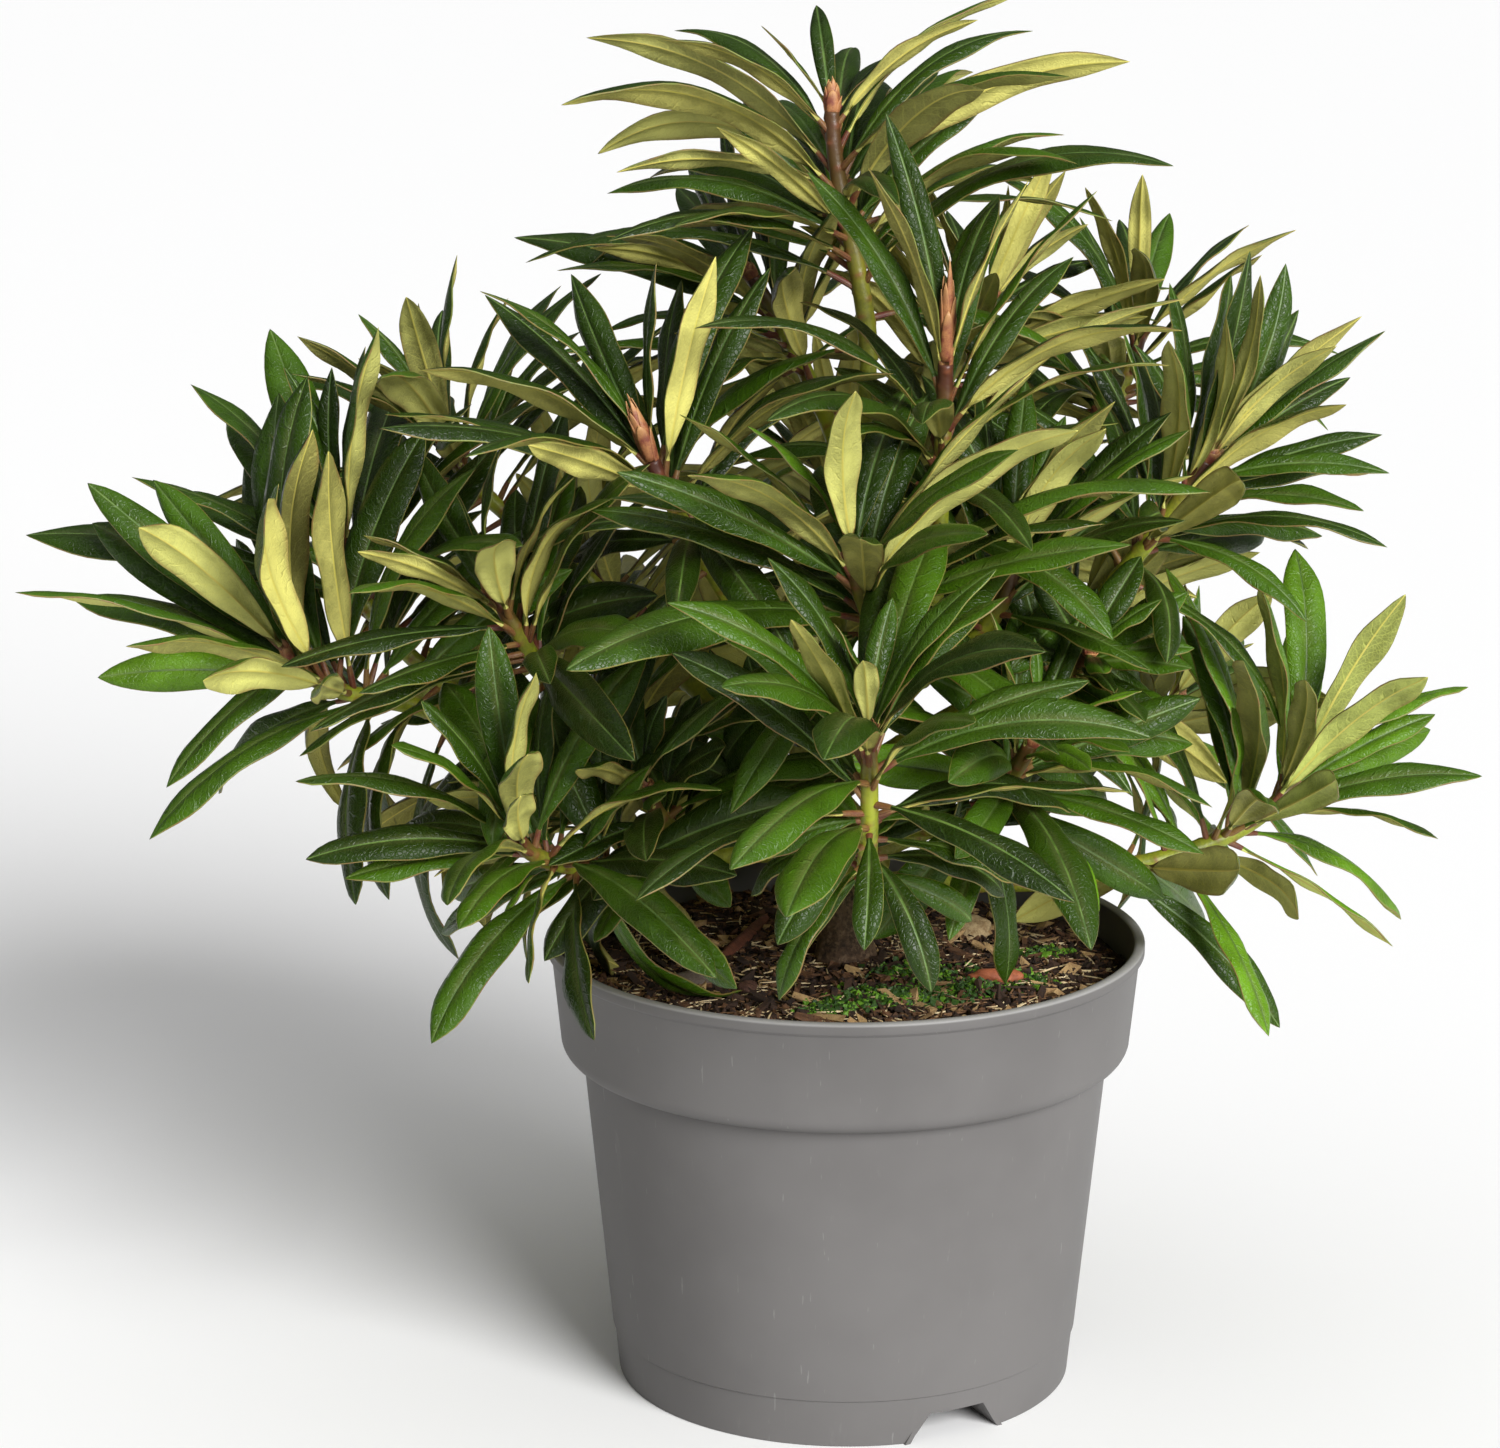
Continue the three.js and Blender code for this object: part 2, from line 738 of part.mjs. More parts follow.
function makeBud(line, length, grow) {
  const way = line.getTangent(1);
  const side = new THREE.Vector3(1, 0, 0).addScaledVector(way, -way.x).normalize();
  const across = new THREE.Vector3().crossVectors(way, side);
  const ring = (along, radius) =>
    Array.from({ length: stemSize.sides }, (_, i) => {
      const turn = (2 * Math.PI * i) / stemSize.sides;
      return line
        .getPoint(1)
        .addScaledVector(way, along)
        .addScaledVector(side, (radius + grow) * Math.cos(turn))
        .addScaledVector(across, (radius + grow) * Math.sin(turn));
    });
  const point = line.getPoint(1).addScaledVector(way, length + grow);
  return loft([
    ring(-bud.sunk, stemSize.thin * bud.neck),
    ring(length * bud.widest, bud.radius),
    [point],
  ]);
}

// ---------------------------------------------------------------- leaves
// The leaves of a shoot, each with its place under the tip. Within a whorl, high is 0 for the lowest leaf
// and 1 for the innermost.
function leavesOf(shoot) {
  const whorls = shoot.whorls.flatMap((whorl) =>
    Array.from({ length: whorl.leaves }, (_, index) => {
      const high = index / Math.max(whorl.leaves - 1, 1);
      return {
        index,
        high,
        seed: whorl.seed,
        drop: whorl.below + whorl.span * (1 - high),
        axisDrop: whorl.below,
        open: lerp(whorl.open, whorl.inner, high ** whorlShape.openFade),
        arch: lerp(whorl.arch, whorlShape.innerArch, high ** whorlShape.archFade),
        length: whorl.length * lerp(1, whorl.least, high ** whorlShape.lengthFade),
        width: whorl.wide ?? 1,
        backTurn: whorl.backTurn ?? 0,
      };
    }),
  );
  const last = shoot.whorls[shoot.whorls.length - 1];
  const older = Array.from({ length: shoot.older }, (_, i) => ({
    index: olderLeaf.index + i,
    high: -1,
    seed: last.seed,
    drop: last.below + last.span + olderLeaf.gap + olderLeaf.step * i,
    axisDrop: last.below + last.span + olderLeaf.gap + olderLeaf.step * i,
    open: olderLeaf.open,
    arch: olderLeaf.arch,
    length: last.length * olderLeaf.size,
    width: olderLeaf.width,
    backTurn: last.backTurn ?? 0,
  }));
  return [...whorls, ...older];
}

// The base of a leaf on its stem and the directions it is drawn in, after a nudge of turn and lift.
function leafPose(line, leaf, nudge) {
  const seed = leaf.seed * 101 + leaf.index;
  const shareAt = (drop) => Math.max(whorlShape.lowest, 1 - drop / line.getLength());
  const axis = line.getTangentAt(shareAt(leaf.axisDrop));
  const side = new THREE.Vector3(0, 1, 0).addScaledVector(axis, -axis.y).normalize();
  const across = new THREE.Vector3().crossVectors(axis, side);
  const first = 180 * chance(leaf.seed * 101 + 77, 9);
  const turn = radians(goldenTurn * leaf.index + first + jitter.turn * chance(seed, 1) + nudge[0]);
  const radial = side.multiplyScalar(Math.cos(turn)).addScaledVector(across, Math.sin(turn));
  const tangent = new THREE.Vector3().crossVectors(axis, radial);
  const length = leaf.length * (1 + jitter.length * chance(seed, 4)) * nudge[2];
  return {
    base: line.getPointAt(shareAt(leaf.drop)),
    axis,
    radial,
    tangent,
    open: radians(leaf.open + jitter.open * chance(seed, 2) + nudge[1]),
    bend: Math.max(radians(leaf.arch + jitter.arch * chance(seed, 3)), leafShape.leastBend),
    sway: jitter.sway * chance(seed, 5),
    roll: radians(jitter.roll * chance(seed, 6) - leaf.backTurn * tangent.y),
    length,
    half: (length * leafShape.width * leaf.width * (1 + jitter.width * chance(seed, 7))) / 2,
  };
}

// The middle of the leaf is an arc of a circle that leans away from the whorl's axis.
function leafPoint(pose, share) {
  const turned = pose.open + pose.bend * share;
  const along = (Math.sin(turned) - Math.sin(pose.open)) / pose.bend;
  const out = (Math.cos(pose.open) - Math.cos(turned)) / pose.bend;
  return pose.base
    .clone()
    .addScaledVector(pose.axis, along * pose.length)
    .addScaledVector(pose.radial, out * pose.length)
    .addScaledVector(pose.tangent, pose.sway * share ** 2 * pose.length);
}

function halfWidth(pose, share) {
  const along = Math.max(0, (share - leafShape.petiole) / (1 - leafShape.petiole));
  const peak = leafShape.front / (leafShape.front + leafShape.back);
  const full = peak ** leafShape.front * (1 - peak) ** leafShape.back;
  const blade = (pose.half * along ** leafShape.front * (1 - along) ** leafShape.back) / full;
  return Math.max(leafShape.root, blade);
}

// Three points round the leaf: its two edges and the keel under its middle.
function leafSection(pose, share) {
  const turned = pose.open + pose.bend * share;
  const face = pose.axis
    .clone()
    .multiplyScalar(Math.sin(turned))
    .addScaledVector(pose.radial, -Math.cos(turned));
  const width = pose.tangent
    .clone()
    .multiplyScalar(Math.cos(pose.roll))
    .addScaledVector(face, Math.sin(pose.roll));
  const under = pose.tangent
    .clone()
    .multiplyScalar(Math.sin(pose.roll))
    .addScaledVector(face, -Math.cos(pose.roll));
  const middle = leafPoint(pose, share);
  const half = halfWidth(pose, share);
  return [
    middle.clone().addScaledVector(width, half),
    middle.clone().addScaledVector(width, -half),
    middle.clone().addScaledVector(under, leafShape.keel),
  ];
}

// Whether a leaf stands on the side that its shoot is bare on.
function hasDropped(shoot, leaf, pose) {
  if (shoot.bare === undefined || leaf.high < bareSide.from) return false;
  const bare = direction(shoot.bare, 0);
  const out = pose.radial.clone().setZ(0).normalize();
  return out.dot(bare) > Math.cos(radians(bareSide.half));
}

function leafSolid(pose, rings) {
  return loft([...rings.map((share) => leafSection(pose, share)), [leafPoint(pose, 1)]]);
}

const bladeRings = leafShape.rings.slice(1);

function grownBox(box, by) {
  return { min: box.min.map((v) => v - by), max: box.max.map((v) => v + by) };
}

const boxesMeet = (a, b) => a.min.every((v, i) => v <= b.max[i] && b.min[i] <= a.max[i]);

function isClear(piece, obstacles) {
  const near = grownBox(piece.box, clearance);
  const apart = (o) => piece.solid.minGap(o.solid, 2 * clearance) >= clearance;
  return obstacles.every((o) => !boxesMeet(near, o.box) || apart(o));
}

const obstacle = (solid, owner) => ({ solid, box: solid.boundingBox(), owner });

// Grows every stem and its bud, before any leaf.
function growStems() {
  const radii = sharesOf(stemSize.steps).map((share) => lerp(stemSize.thick, stemSize.thin, share));
  for (const shoot of shoots) {
    const line = stemLine(shoot);
    addLimb(shoot.name, line, radii, stemSize.sides, [...limbs.keys()]);
    const limb = limbs.get(shoot.name);
    const size = shoot.bud ?? bud.length;
    limb.solid = limb.solid.add(makeBud(line, size, 0));
    limb.grown = limb.grown.add(makeBud(line, size, clearance));
  }
}

// The leaves of one shoot. A leaf tries its nudges until it is clear of the pot, the limbs, the other masses
// and the blades of its own mass, and is left out if none will do.
function growLeaves(shoot, wood, blades) {
  const { line } = limbs.get(shoot.name);
  const otherWood = wood.filter((o) => o.owner !== shoot.name);
  const leaves = [];
  for (const leaf of leavesOf(shoot)) {
    if (hasDropped(shoot, leaf, leafPose(line, leaf, nudges[0]))) continue;
    nudges.some((nudge) => {
      const pose = leafPose(line, leaf, nudge);
      const whole = obstacle(leafSolid(pose, leafShape.rings), shoot.name);
      const blade = obstacle(leafSolid(pose, bladeRings), shoot.name);
      const others = blades.filter((b) => b.owner !== shoot.name);
      const own = blades.filter((b) => b.owner === shoot.name).map((b) => b.blade);
      if (!isClear(whole, otherWood) || !isClear(whole, others)) return false;
      if (!isClear(blade, own)) return false;
      blades.push({ ...whole, blade });
      leaves.push(whole.solid);
      return true;
    });
  }
  return leaves;
}

// Every mass of leaves: its stem, bud and leaves joined into one body.
function growShoots(fixed) {
  growStems();
  const wood = [...fixed, ...[...limbs].map(([name, limb]) => obstacle(limb.solid, name))];
  const blades = [];
  return shoots.map((shoot) => {
    const parts = [limbs.get(shoot.name).solid, ...growLeaves(shoot, wood, blades)];
    const joined = largestBody(wasm.Manifold.union(parts));
    return [shoot.name, largestBody(joined.asOriginal().simplify(tidyStep))];
  });
}

// ---------------------------------------------------------------- the plant
const plant = new THREE.Group();

function add(name, solid, material) {
  const mesh = new THREE.Mesh(geometryOf(solid), materials[material]);
  mesh.name = name;
  plant.add(mesh);
}

const potSolid = makePot();
const soilSolid = makeSoil();
makeTrunk();
makeBoughs();
add("pot", potSolid, "pot");
add("root_ball", soilSolid, "soil");
add("trunk", limbs.get("trunk").solid, "bark");
for (const bough of boughs) add(bough.name, limbs.get(bough.name).solid, "bark");
for (const [name, solid] of growShoots([obstacle(potSolid, "pot"), obstacle(soilSolid, "root_ball")])) {
  add(name, solid, "leaves");
}

// The origin is on the floor under the middle of the whole plant's box.
const middle = new THREE.Box3().setFromObject(plant).getCenter(new THREE.Vector3());
plant.position.set(-middle.x, -middle.y, 0);

export default plant;
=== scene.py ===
import bpy
import math
import numpy as np
from mathutils.bvhtree import BVHTree
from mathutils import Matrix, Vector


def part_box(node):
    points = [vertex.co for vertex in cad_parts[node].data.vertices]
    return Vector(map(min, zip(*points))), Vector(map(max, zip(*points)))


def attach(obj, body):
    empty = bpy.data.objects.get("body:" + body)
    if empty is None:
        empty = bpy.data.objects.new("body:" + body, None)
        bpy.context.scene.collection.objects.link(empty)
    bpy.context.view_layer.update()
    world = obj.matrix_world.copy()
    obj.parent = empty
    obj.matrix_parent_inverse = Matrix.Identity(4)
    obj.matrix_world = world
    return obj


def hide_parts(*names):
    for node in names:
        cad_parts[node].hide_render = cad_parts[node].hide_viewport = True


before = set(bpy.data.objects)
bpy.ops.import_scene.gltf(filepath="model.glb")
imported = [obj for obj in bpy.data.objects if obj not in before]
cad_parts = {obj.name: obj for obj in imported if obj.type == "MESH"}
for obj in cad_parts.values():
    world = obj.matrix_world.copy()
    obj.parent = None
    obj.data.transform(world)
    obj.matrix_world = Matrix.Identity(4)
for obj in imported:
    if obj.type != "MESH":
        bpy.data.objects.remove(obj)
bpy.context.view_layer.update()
print("frame loaded:", len(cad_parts), "nodes")

# Lengths below are in millimetres from the pot's axis at the floor, and angles in degrees.
# A bearing of 0 points right (+X) and -90 points to the front.
potLow, potHigh = (np.array(corner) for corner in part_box("pot"))
potAxis = np.array([(potLow[0] + potHigh[0]) / 2, (potLow[1] + potHigh[1]) / 2, 0])
goldenTurn = 137.508


# Small helpers on whole arrays of vectors.
def unit(v):
    return v / np.maximum(np.linalg.norm(v, axis=-1, keepdims=True), 1e-12)


def dot(a, b):
    return np.sum(a * b, axis=-1, keepdims=True)


def mix(a, b, share):
    return a + (b - a) * share


def ease(low, high, x):
    t = np.clip((x - low) / (high - low), 0, 1)
    return t * t * (3 - 2 * t)


# An even value from -1 to 1 that depends only on the two numbers.
def chance(index, salt):
    wave = np.sin(np.asarray(index, float) * 12.9898 + salt * 78.233) * 43758.5453
    return 2 * (wave - np.floor(wave)) - 1


def chanceShare(index, salt):  # the same value carried to 0 to 1
    return (chance(index, salt) + 1) / 2


def direction(bearing, rise):
    bearing, rise = np.radians(bearing), np.radians(rise)
    level = np.cos(rise)
    return np.stack([level * np.cos(bearing), level * np.sin(bearing), np.sin(rise) + 0 * bearing], -1)


def place(bearing, reach, height):
    flat = direction(bearing, 0.0) * np.asarray(reach)[..., None]
    flat[..., 2] = height
    return flat


# Any number of arrays of quads and triangles become one mesh, with its own UV map and one value per point
# for each named attribute.
def makePiece(name, points, faces, materials, faceMaterial=None, uv=None, values=None):
    mesh = bpy.data.meshes.new(name)
    sizes = np.concatenate([np.full(len(f), f.shape[1]) for f in faces])
    corners = np.concatenate([f.ravel() for f in faces]).astype(np.int32)
    mesh.vertices.add(len(points))
    mesh.vertices.foreach_set("co", (points / 1000 + potAxis).astype(np.float32).ravel())
    mesh.loops.add(len(corners))
    mesh.loops.foreach_set("vertex_index", corners)
    mesh.polygons.add(len(sizes))
    mesh.polygons.foreach_set("loop_start", (np.cumsum(sizes) - sizes).astype(np.int32))
    mesh.polygons.foreach_set("use_smooth", np.ones(len(sizes), bool))
    for material in materials:
        mesh.materials.append(material)
    if faceMaterial is not None:
        mesh.polygons.foreach_set("material_index", faceMaterial.astype(np.int32))
    if uv is not None:
        mesh.uv_layers.new(name="UVMap").data.foreach_set("uv", uv[corners].astype(np.float32).ravel())
    for key, value in (values or {}).items():
        mesh.attributes.new(key, "FLOAT", "POINT").data.foreach_set("value", value.astype(np.float32).ravel())
    mesh.update(calc_edges=True)
    mesh.validate()
    piece = bpy.data.objects.new(name, mesh)
    bpy.context.scene.collection.objects.link(piece)
    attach(piece, "root")
    return piece


# Quads that join ring k to ring k + 1, for rings of the same number of points that close on themselves.
def ringQuads(rings, sides):
    k, i = np.meshgrid(np.arange(rings - 1), np.arange(sides), indexing="ij")
    j = (i + 1) % sides
    quads = np.stack([k * sides + i, k * sides + j, (k + 1) * sides + j, (k + 1) * sides + i], -1)
    return quads.reshape(-1, 4)


# Triangles from one point to a closed ring.
def fan(tip, ringStart, sides, outward=True):
    i = np.arange(sides)
    j = (i + 1) % sides
    triangles = np.stack([i + ringStart, j + ringStart, np.full(sides, tip)], -1)
    return triangles if outward else triangles[:, ::-1]


# The triangles that close both ends of a tube, whose two end points follow its rings.
def tubeEnds(rings, sides):
    last = rings * sides
    return np.concatenate([fan(last, 0, sides, False), fan(last + 1, last - sides, sides)])


# The same faces for each of a number of copies that have so many points each.
def repeatFaces(faces, copies, points):
    return faces[None] + (np.arange(copies) * points)[:, None, None]


# A block's eight corners run by x, then z, then y. These are its six sides.
blockQuads = np.array([[0, 2, 3, 1], [4, 5, 7, 6], [0, 1, 5, 4], [2, 6, 7, 3], [0, 4, 6, 2], [1, 3, 7, 5]])
curveSteps = 201


# Curves: a cubic with four control points, measured along its length in even steps.
def limbLine(start, startWay, end, endWay, bow):
    reach = np.linalg.norm(end - start) * bow
    return np.stack([start, start + startWay * reach, end - endWay * reach, end])


def curvePoint(curve, t):
    t = np.asarray(t, float)[..., None]
    u = 1 - t
    return u**3 * curve[0] + 3 * u**2 * t * curve[1] + 3 * u * t**2 * curve[2] + t**3 * curve[3]


def curveTangent(curve, t):
    t = np.asarray(t, float)
    return unit(curvePoint(curve, np.minimum(t + 1e-4, 1)) - curvePoint(curve, np.maximum(t - 1e-4, 0)))


def curveLengths(curve):
    steps = np.linalg.norm(np.diff(curvePoint(curve, np.linspace(0, 1, curveSteps)), axis=0), axis=1)
    return np.concatenate([[0], np.cumsum(steps)])


def alongCurve(curve, share):
    lengths = curveLengths(curve)
    return np.interp(np.asarray(share) * lengths[-1], lengths, np.linspace(0, 1, curveSteps))


# The plant's limbs. A bough's tip stands at a bearing, a reach from the axis and a height over the floor,
# points up by its rise, and starts a share of the way along its parent.
trunk = {"foot": 163.7, "bearing": 180, "lean": 13, "top": 236, "thick": 8.4, "flare": 4.5, "neck": 6.6}
boughs = {
    "bough_leader": ("trunk", 1, 40, 10, 396, 88, 5.6, 3.4),
    "bough_right_high": ("trunk", 0.8, -7, 86, 297, 50, 5.2, 3.7),
    "bough_front_high": ("trunk", 0.9, -63, 66, 318, 80, 5, 3.6),
    "bough_front_left": ("trunk", 0.95, -150, 42, 296, 62, 4.8, 3.6),
    "bough_left": ("trunk", 0.78, 178, 148, 256, 38, 5.4, 3.4),
    "bough_left_low": ("trunk", 0.55, -144, 98, 217, 4, 4.8, 3.4),
    "bough_front_low": ("trunk", 0.62, -88, 122, 232, 25, 4.8, 3.6),
    "bough_right_low": ("trunk", 0.35, -16, 88, 203, 14, 4.8, 3.4),
    "bough_front_right": ("trunk", 0.7, -48, 68, 236, 42, 4.4, 3.2),
    "bough_back_left": ("trunk", 0.86, 150, 104, 292, 45, 5, 3.4),
    "bough_back_right": ("trunk", 0.9, 36, 82, 312, 55, 5, 3.4),
    "bough_back": ("trunk", 0.72, 92, 84, 268, 42, 5, 3.4),
    "bough_back_low": ("trunk", 0.4, 48, 104, 212, 18, 4.6, 3.2),
}

# Each shoot: parent, share, bearing, reach, height, heading, rise, older leaves, freshness of its green, bud
# length, and its whorls as (below the tip, span, leaves, length, wide, open, inner, least, arch, seed, back
# turn). The back turn is how far the leaves have turned their upper side to the back.
shoots = {
    "leaves_top": ("bough_leader", 1, 122, 12, 488, 93, 85, 2, 0.3, 14, [
        (0, 40, 22, 116, 1, 54, 32, 0.35, 52, 456, 20), (43, 26, 20, 128, 1, 54, 40, 0.5, 58, 46, -6)]),
    "leaves_front_right_high": ("bough_front_high", 1, -61, 69, 405, -84, 82, 2, 0.15, 38, [
        (0, 43, 17, 104, 1, 50, 18, 0.8, 41, 2, 4)]),
    "leaves_front_left_high": ("bough_front_left", 1, -145, 88, 368, -167, 69, 4, 0.1, 27, [
        (0, 20, 18, 106, 1, 56, 20, 0.76, 18, 1755, 6)]),
    "leaves_front_middle": ("bough_front_high", 0.62, -90, 95, 342, -154, 84, 3, 0.3, 8, [
        (0, 36, 15, 124, 1, 67, 22, 0.54, 36, 114, 6)]),
    "leaves_front_low": ("bough_front_low", 1, -88.5, 150, 292, -106, 77, 3, 0.32, 6, [
        (0, 19, 13, 113, 1, 54, 14, 0.36, 48, 779, 0), (36, 22, 11, 61, 1.3, 88, 100, 0.7, 55, 1299, 0)]),
    "leaves_right_high": ("bough_right_high", 1, -8.6, 134, 362, 9, 56, 7, 0.2, 9, [
        (0, 45, 22, 94, 1, 48, 8, 0.8, 25, 1317, -26)]),
    "leaves_right_low": ("bough_right_low", 1, -3.5, 171, 242, 22, 66, 0, 0.6, 8, [
        (0, 46, 12, 101, 1, 54, 18, 0.8, 23, 371, -34), (56, 10, 4, 86, 1, 105, 80, 1, 23, 536, -34),
        (74, 10, 4, 100, 1, 40, 80, 1, 23, 779, -34)]),
    "leaves_far_left": ("bough_left", 1, -174.5, 209, 288, -179, 59, 5, 0.35, 9, [
        (0, 35, 15, 117, 1, 45, 25, 0.8, 24, 908, -24)]),
    "leaves_left_high": ("bough_left", 0.72, 177, 192, 328, 164, 84, 5, 0.15, 9, [
        (0, 28, 16, 126, 1, 78, 8, 0.51, 11, 1448, -10)]),
    "leaves_left_middle": ("bough_left", 0.5, -163, 137, 316, -177, 58, 4, 0.2, 9, [
        (0, 32, 14, 104, 1, 88, 18, 0.44, 14, 441, 0)]),
    "leaves_left_front_low": ("bough_left_low", 1, -143.6, 152, 240, -122, 64, 4, 0.3, 10, [
        (0, 32, 14, 96, 1, 65, 10, 0.7, 51, 444, 0), (36, 12, 5, 90, 1, 116, 76, 0.87, 58, 796, 0)]),
    "leaves_left_low": ("bough_left_low", 0.72, -164, 110, 240, -164, 62, 3, 0.45, 8, [
        (0, 24, 12, 88, 1, 80, 18, 0.45, 34, 31, 0)]),
    "leaves_front_right_middle": ("bough_front_high", 0.4, -46, 84, 330, -54, 82, 3, 0.35, 8, [
        (0, 27, 13, 108, 1, 50, 22, 0.7, 18, 879, 0)]),
    "leaves_front_right_low": ("bough_front_right", 1, -55, 112, 273, -42, 62, 5, 0.4, 8, [
        (0, 38, 13, 90, 1, 64, 22, 0.4, 47, 810, 0)]),
    "leaves_middle_left": ("bough_left_low", 0.6, -138.7, 99, 248, -117, 62, 2, 0.25, 8, [
        (0, 22, 11, 69, 1.3, 75, 31, 0.76, 42, 1663, 0)]),
    "leaves_middle_right": ("bough_right_high", 0.5, -36.1, 107, 300, -75, 44, 2, 0.2, 8, [
        (0, 34, 12, 56, 1.4, 59, 36, 0.6, 17, 1563, 0)]),
    "leaves_middle": ("bough_front_left", 0.5, -136.8, 42, 262, -87, 16, 2, 0.2, 6, [
        (0, 28, 11, 48, 1.4, 56, 19, 0.6, 23, 2387, 0)]),
    "leaves_back_left_high": ("bough_back_left", 1, 160, 168, 360, 160, 64, 3, 0.25, 9, [
        (0, 28, 14, 108, 1, 68, 20, 0.45, 30, 41, 0)]),
    "leaves_back_top": ("bough_leader", 0.66, 121, 70, 420, 184, 58, 3, 0.2, 9, [
        (0, 32, 14, 108, 1, 48, 32, 0.5, 13, 839, 0)]),
    "leaves_back_right_top": ("bough_leader", 0.6, 50, 88, 412, 40, 62, 3, 0.2, 9, [
        (0, 38, 13, 90, 1, 64, 22, 0.46, 18, 1049, 0)]),
    "leaves_back_right_high": ("bough_back_right", 1, 31, 134, 398, 37, 78, 4, 0.2, 9, [
        (0, 36, 15, 100, 1, 86, 30, 0.75, 36, 2982, -14)]),
    "leaves_right_middle": ("bough_right_high", 0.66, 24, 100, 292, 24, 50, 3, 0.35, 8, [
        (0, 26, 12, 98, 1, 76, 20, 0.45, 30, 61, 0)]),
    "leaves_back_left_middle": ("bough_back_left", 0.64, 136, 140, 300, 136, 52, 3, 0.3, 8, [
        (0, 26, 12, 102, 1, 74, 20, 0.45, 32, 71, 0)]),
    "leaves_back_middle": ("bough_back", 1, 90, 130, 336, 90, 66, 3, 0.25, 8, [
        (0, 28, 14, 108, 1, 72, 20, 0.45, 32, 83, 0)]),
    "leaves_back_right_middle": ("bough_back_right", 0.6, 56, 136, 318, 56, 56, 3, 0.3, 8, [
        (0, 26, 12, 104, 1, 74, 20, 0.45, 30, 91, 0)]),
    "leaves_back_low": ("bough_back", 0.6, 108, 142, 252, 108, 40, 3, 0.4, 8, [
        (0, 24, 11, 98, 1, 76, 20, 0.45, 32, 37, 0)]),
    "leaves_back_left_low": ("bough_left", 0.36, 158, 138, 240, 158, 40, 3, 0.4, 8, [
        (0, 24, 10, 94, 1, 76, 20, 0.45, 32, 53, 0)]),
    "leaves_back_right_low": ("bough_back_low", 1, 34, 162, 246, 34, 48, 3, 0.45, 8, [
        (0, 24, 11, 98, 1, 76, 20, 0.45, 32, 67, 0)]),
}
olderAt, freshAt, budAt, whorlsAt = 7, 8, 9, 10

# Finer leaves stand between the main ones, in the same two whorls on every shoot: how far the whorl's top
# is below the tip, in mm and as a share of the main whorl's span, its own span, its leaves, how far the outer
# and inner ones open, their arch, and their length as a share of the main whorl's. A shoot with a long bud
# has only the second.
finerWhorls = [
    {"below": 10, "down": 0, "span": 30, "leaves": 7, "open": 62, "inner": 34, "arch": 26, "length": 0.86},
    {"below": 0, "down": 0.7, "span": 24, "leaves": 7, "open": 86, "inner": 60, "arch": 26, "length": 0.86},
]
finerRule = {
    "least": 0.85, "clear": 6, "shortest": 4, "longBud": 14,
    "fromRing": 7, "columns": [0, 2, 5, 8, 10, 12, 15, 18],  # the part of a leaf that is tested
}

lines = {}
lines["trunk"] = limbLine(
    np.array([0, 0, trunk["foot"]]), direction(0, 90), place(trunk["bearing"], trunk["lean"], trunk["top"]),
    direction(0, 90), 0.35)


def branchLine(parent, share, end, heading, rise, lean):
    start = curvePoint(lines[parent], share)
    outward = unit(end - start)
    startWay = unit(mix(curveTangent(lines[parent], share), outward, lean))
    return limbLine(start, startWay, end, direction(heading, rise), 0.33)


for name, (parent, share, bearing, reach, height, rise, *thickness) in boughs.items():
    lines[name] = branchLine(parent, share, place(bearing, reach, height), bearing, rise, 0.75)
for name, (parent, share, bearing, reach, height, heading, rise, *rest) in shoots.items():
    lean = 0.2 if share == 1 else 0.7
    lines[name] = branchLine(parent, share, place(bearing, reach, height), heading, rise, lean)
print("limb lines:", len(lines))


# Shader helpers.
class Nodes:
    def __init__(self, tree):
        self.tree = tree

    def add(self, kind, values=None, **settings):
        node = self.tree.nodes.new(kind)
        for key, value in settings.items():
            setattr(node, key, value)
        for key, value in (values or {}).items():
            if isinstance(value, bpy.types.NodeSocket):
                self.tree.links.new(value, node.inputs[key])
            else:
                node.inputs[key].default_value = value
        return node

    def math(self, operation, a, b=0.0, c=None):
        given = {0: a, 1: b} if c is None else {0: a, 1: b, 2: c}
        return self.add("ShaderNodeMath", given, operation=operation).outputs[0]

    def range(self, value, low, high, toLow=0.0, toHigh=1.0, smooth=True):
        kind = "SMOOTHSTEP" if smooth else "LINEAR"
        given = {0: value, 1: low, 2: high, 3: toLow, 4: toHigh}
        return self.add("ShaderNodeMapRange", given, interpolation_type=kind).outputs[0]

    def blend(self, factor, a, b, kind="MIX"):
        node = self.add("ShaderNodeMix", {0: factor, 6: a, 7: b}, data_type="RGBA", blend_type=kind)
        return node.outputs[2]

    def noise(self, where, scale, detail=3.0, rough=0.55, warp=0.0):
        given = {"Vector": where, "Scale": scale, "Detail": detail, "Roughness": rough, "Distortion": warp}
        return self.add("ShaderNodeTexNoise", given).outputs[0]

    def place(self, kind="Object"):
        return self.add("ShaderNodeTexCoord").outputs[kind]

    def attribute(self, name):
        return self.add("ShaderNodeAttribute", attribute_name=name).outputs["Fac"]

    def bump(self, strength, distance, height, invert=False):
        given = {"Strength": strength, "Distance": distance, "Height": height}
        return self.add("ShaderNodeBump", given, invert=invert).outputs[0]


def rgb(r, g, b):  # a colour as a screen shows it, 0 to 255, turned to linear light
    linear = [c / 255 / 12.92 if c <= 10 else ((c / 255 + 0.055) / 1.055) ** 2.4 for c in (r, g, b)]
    return (*linear, 1.0)


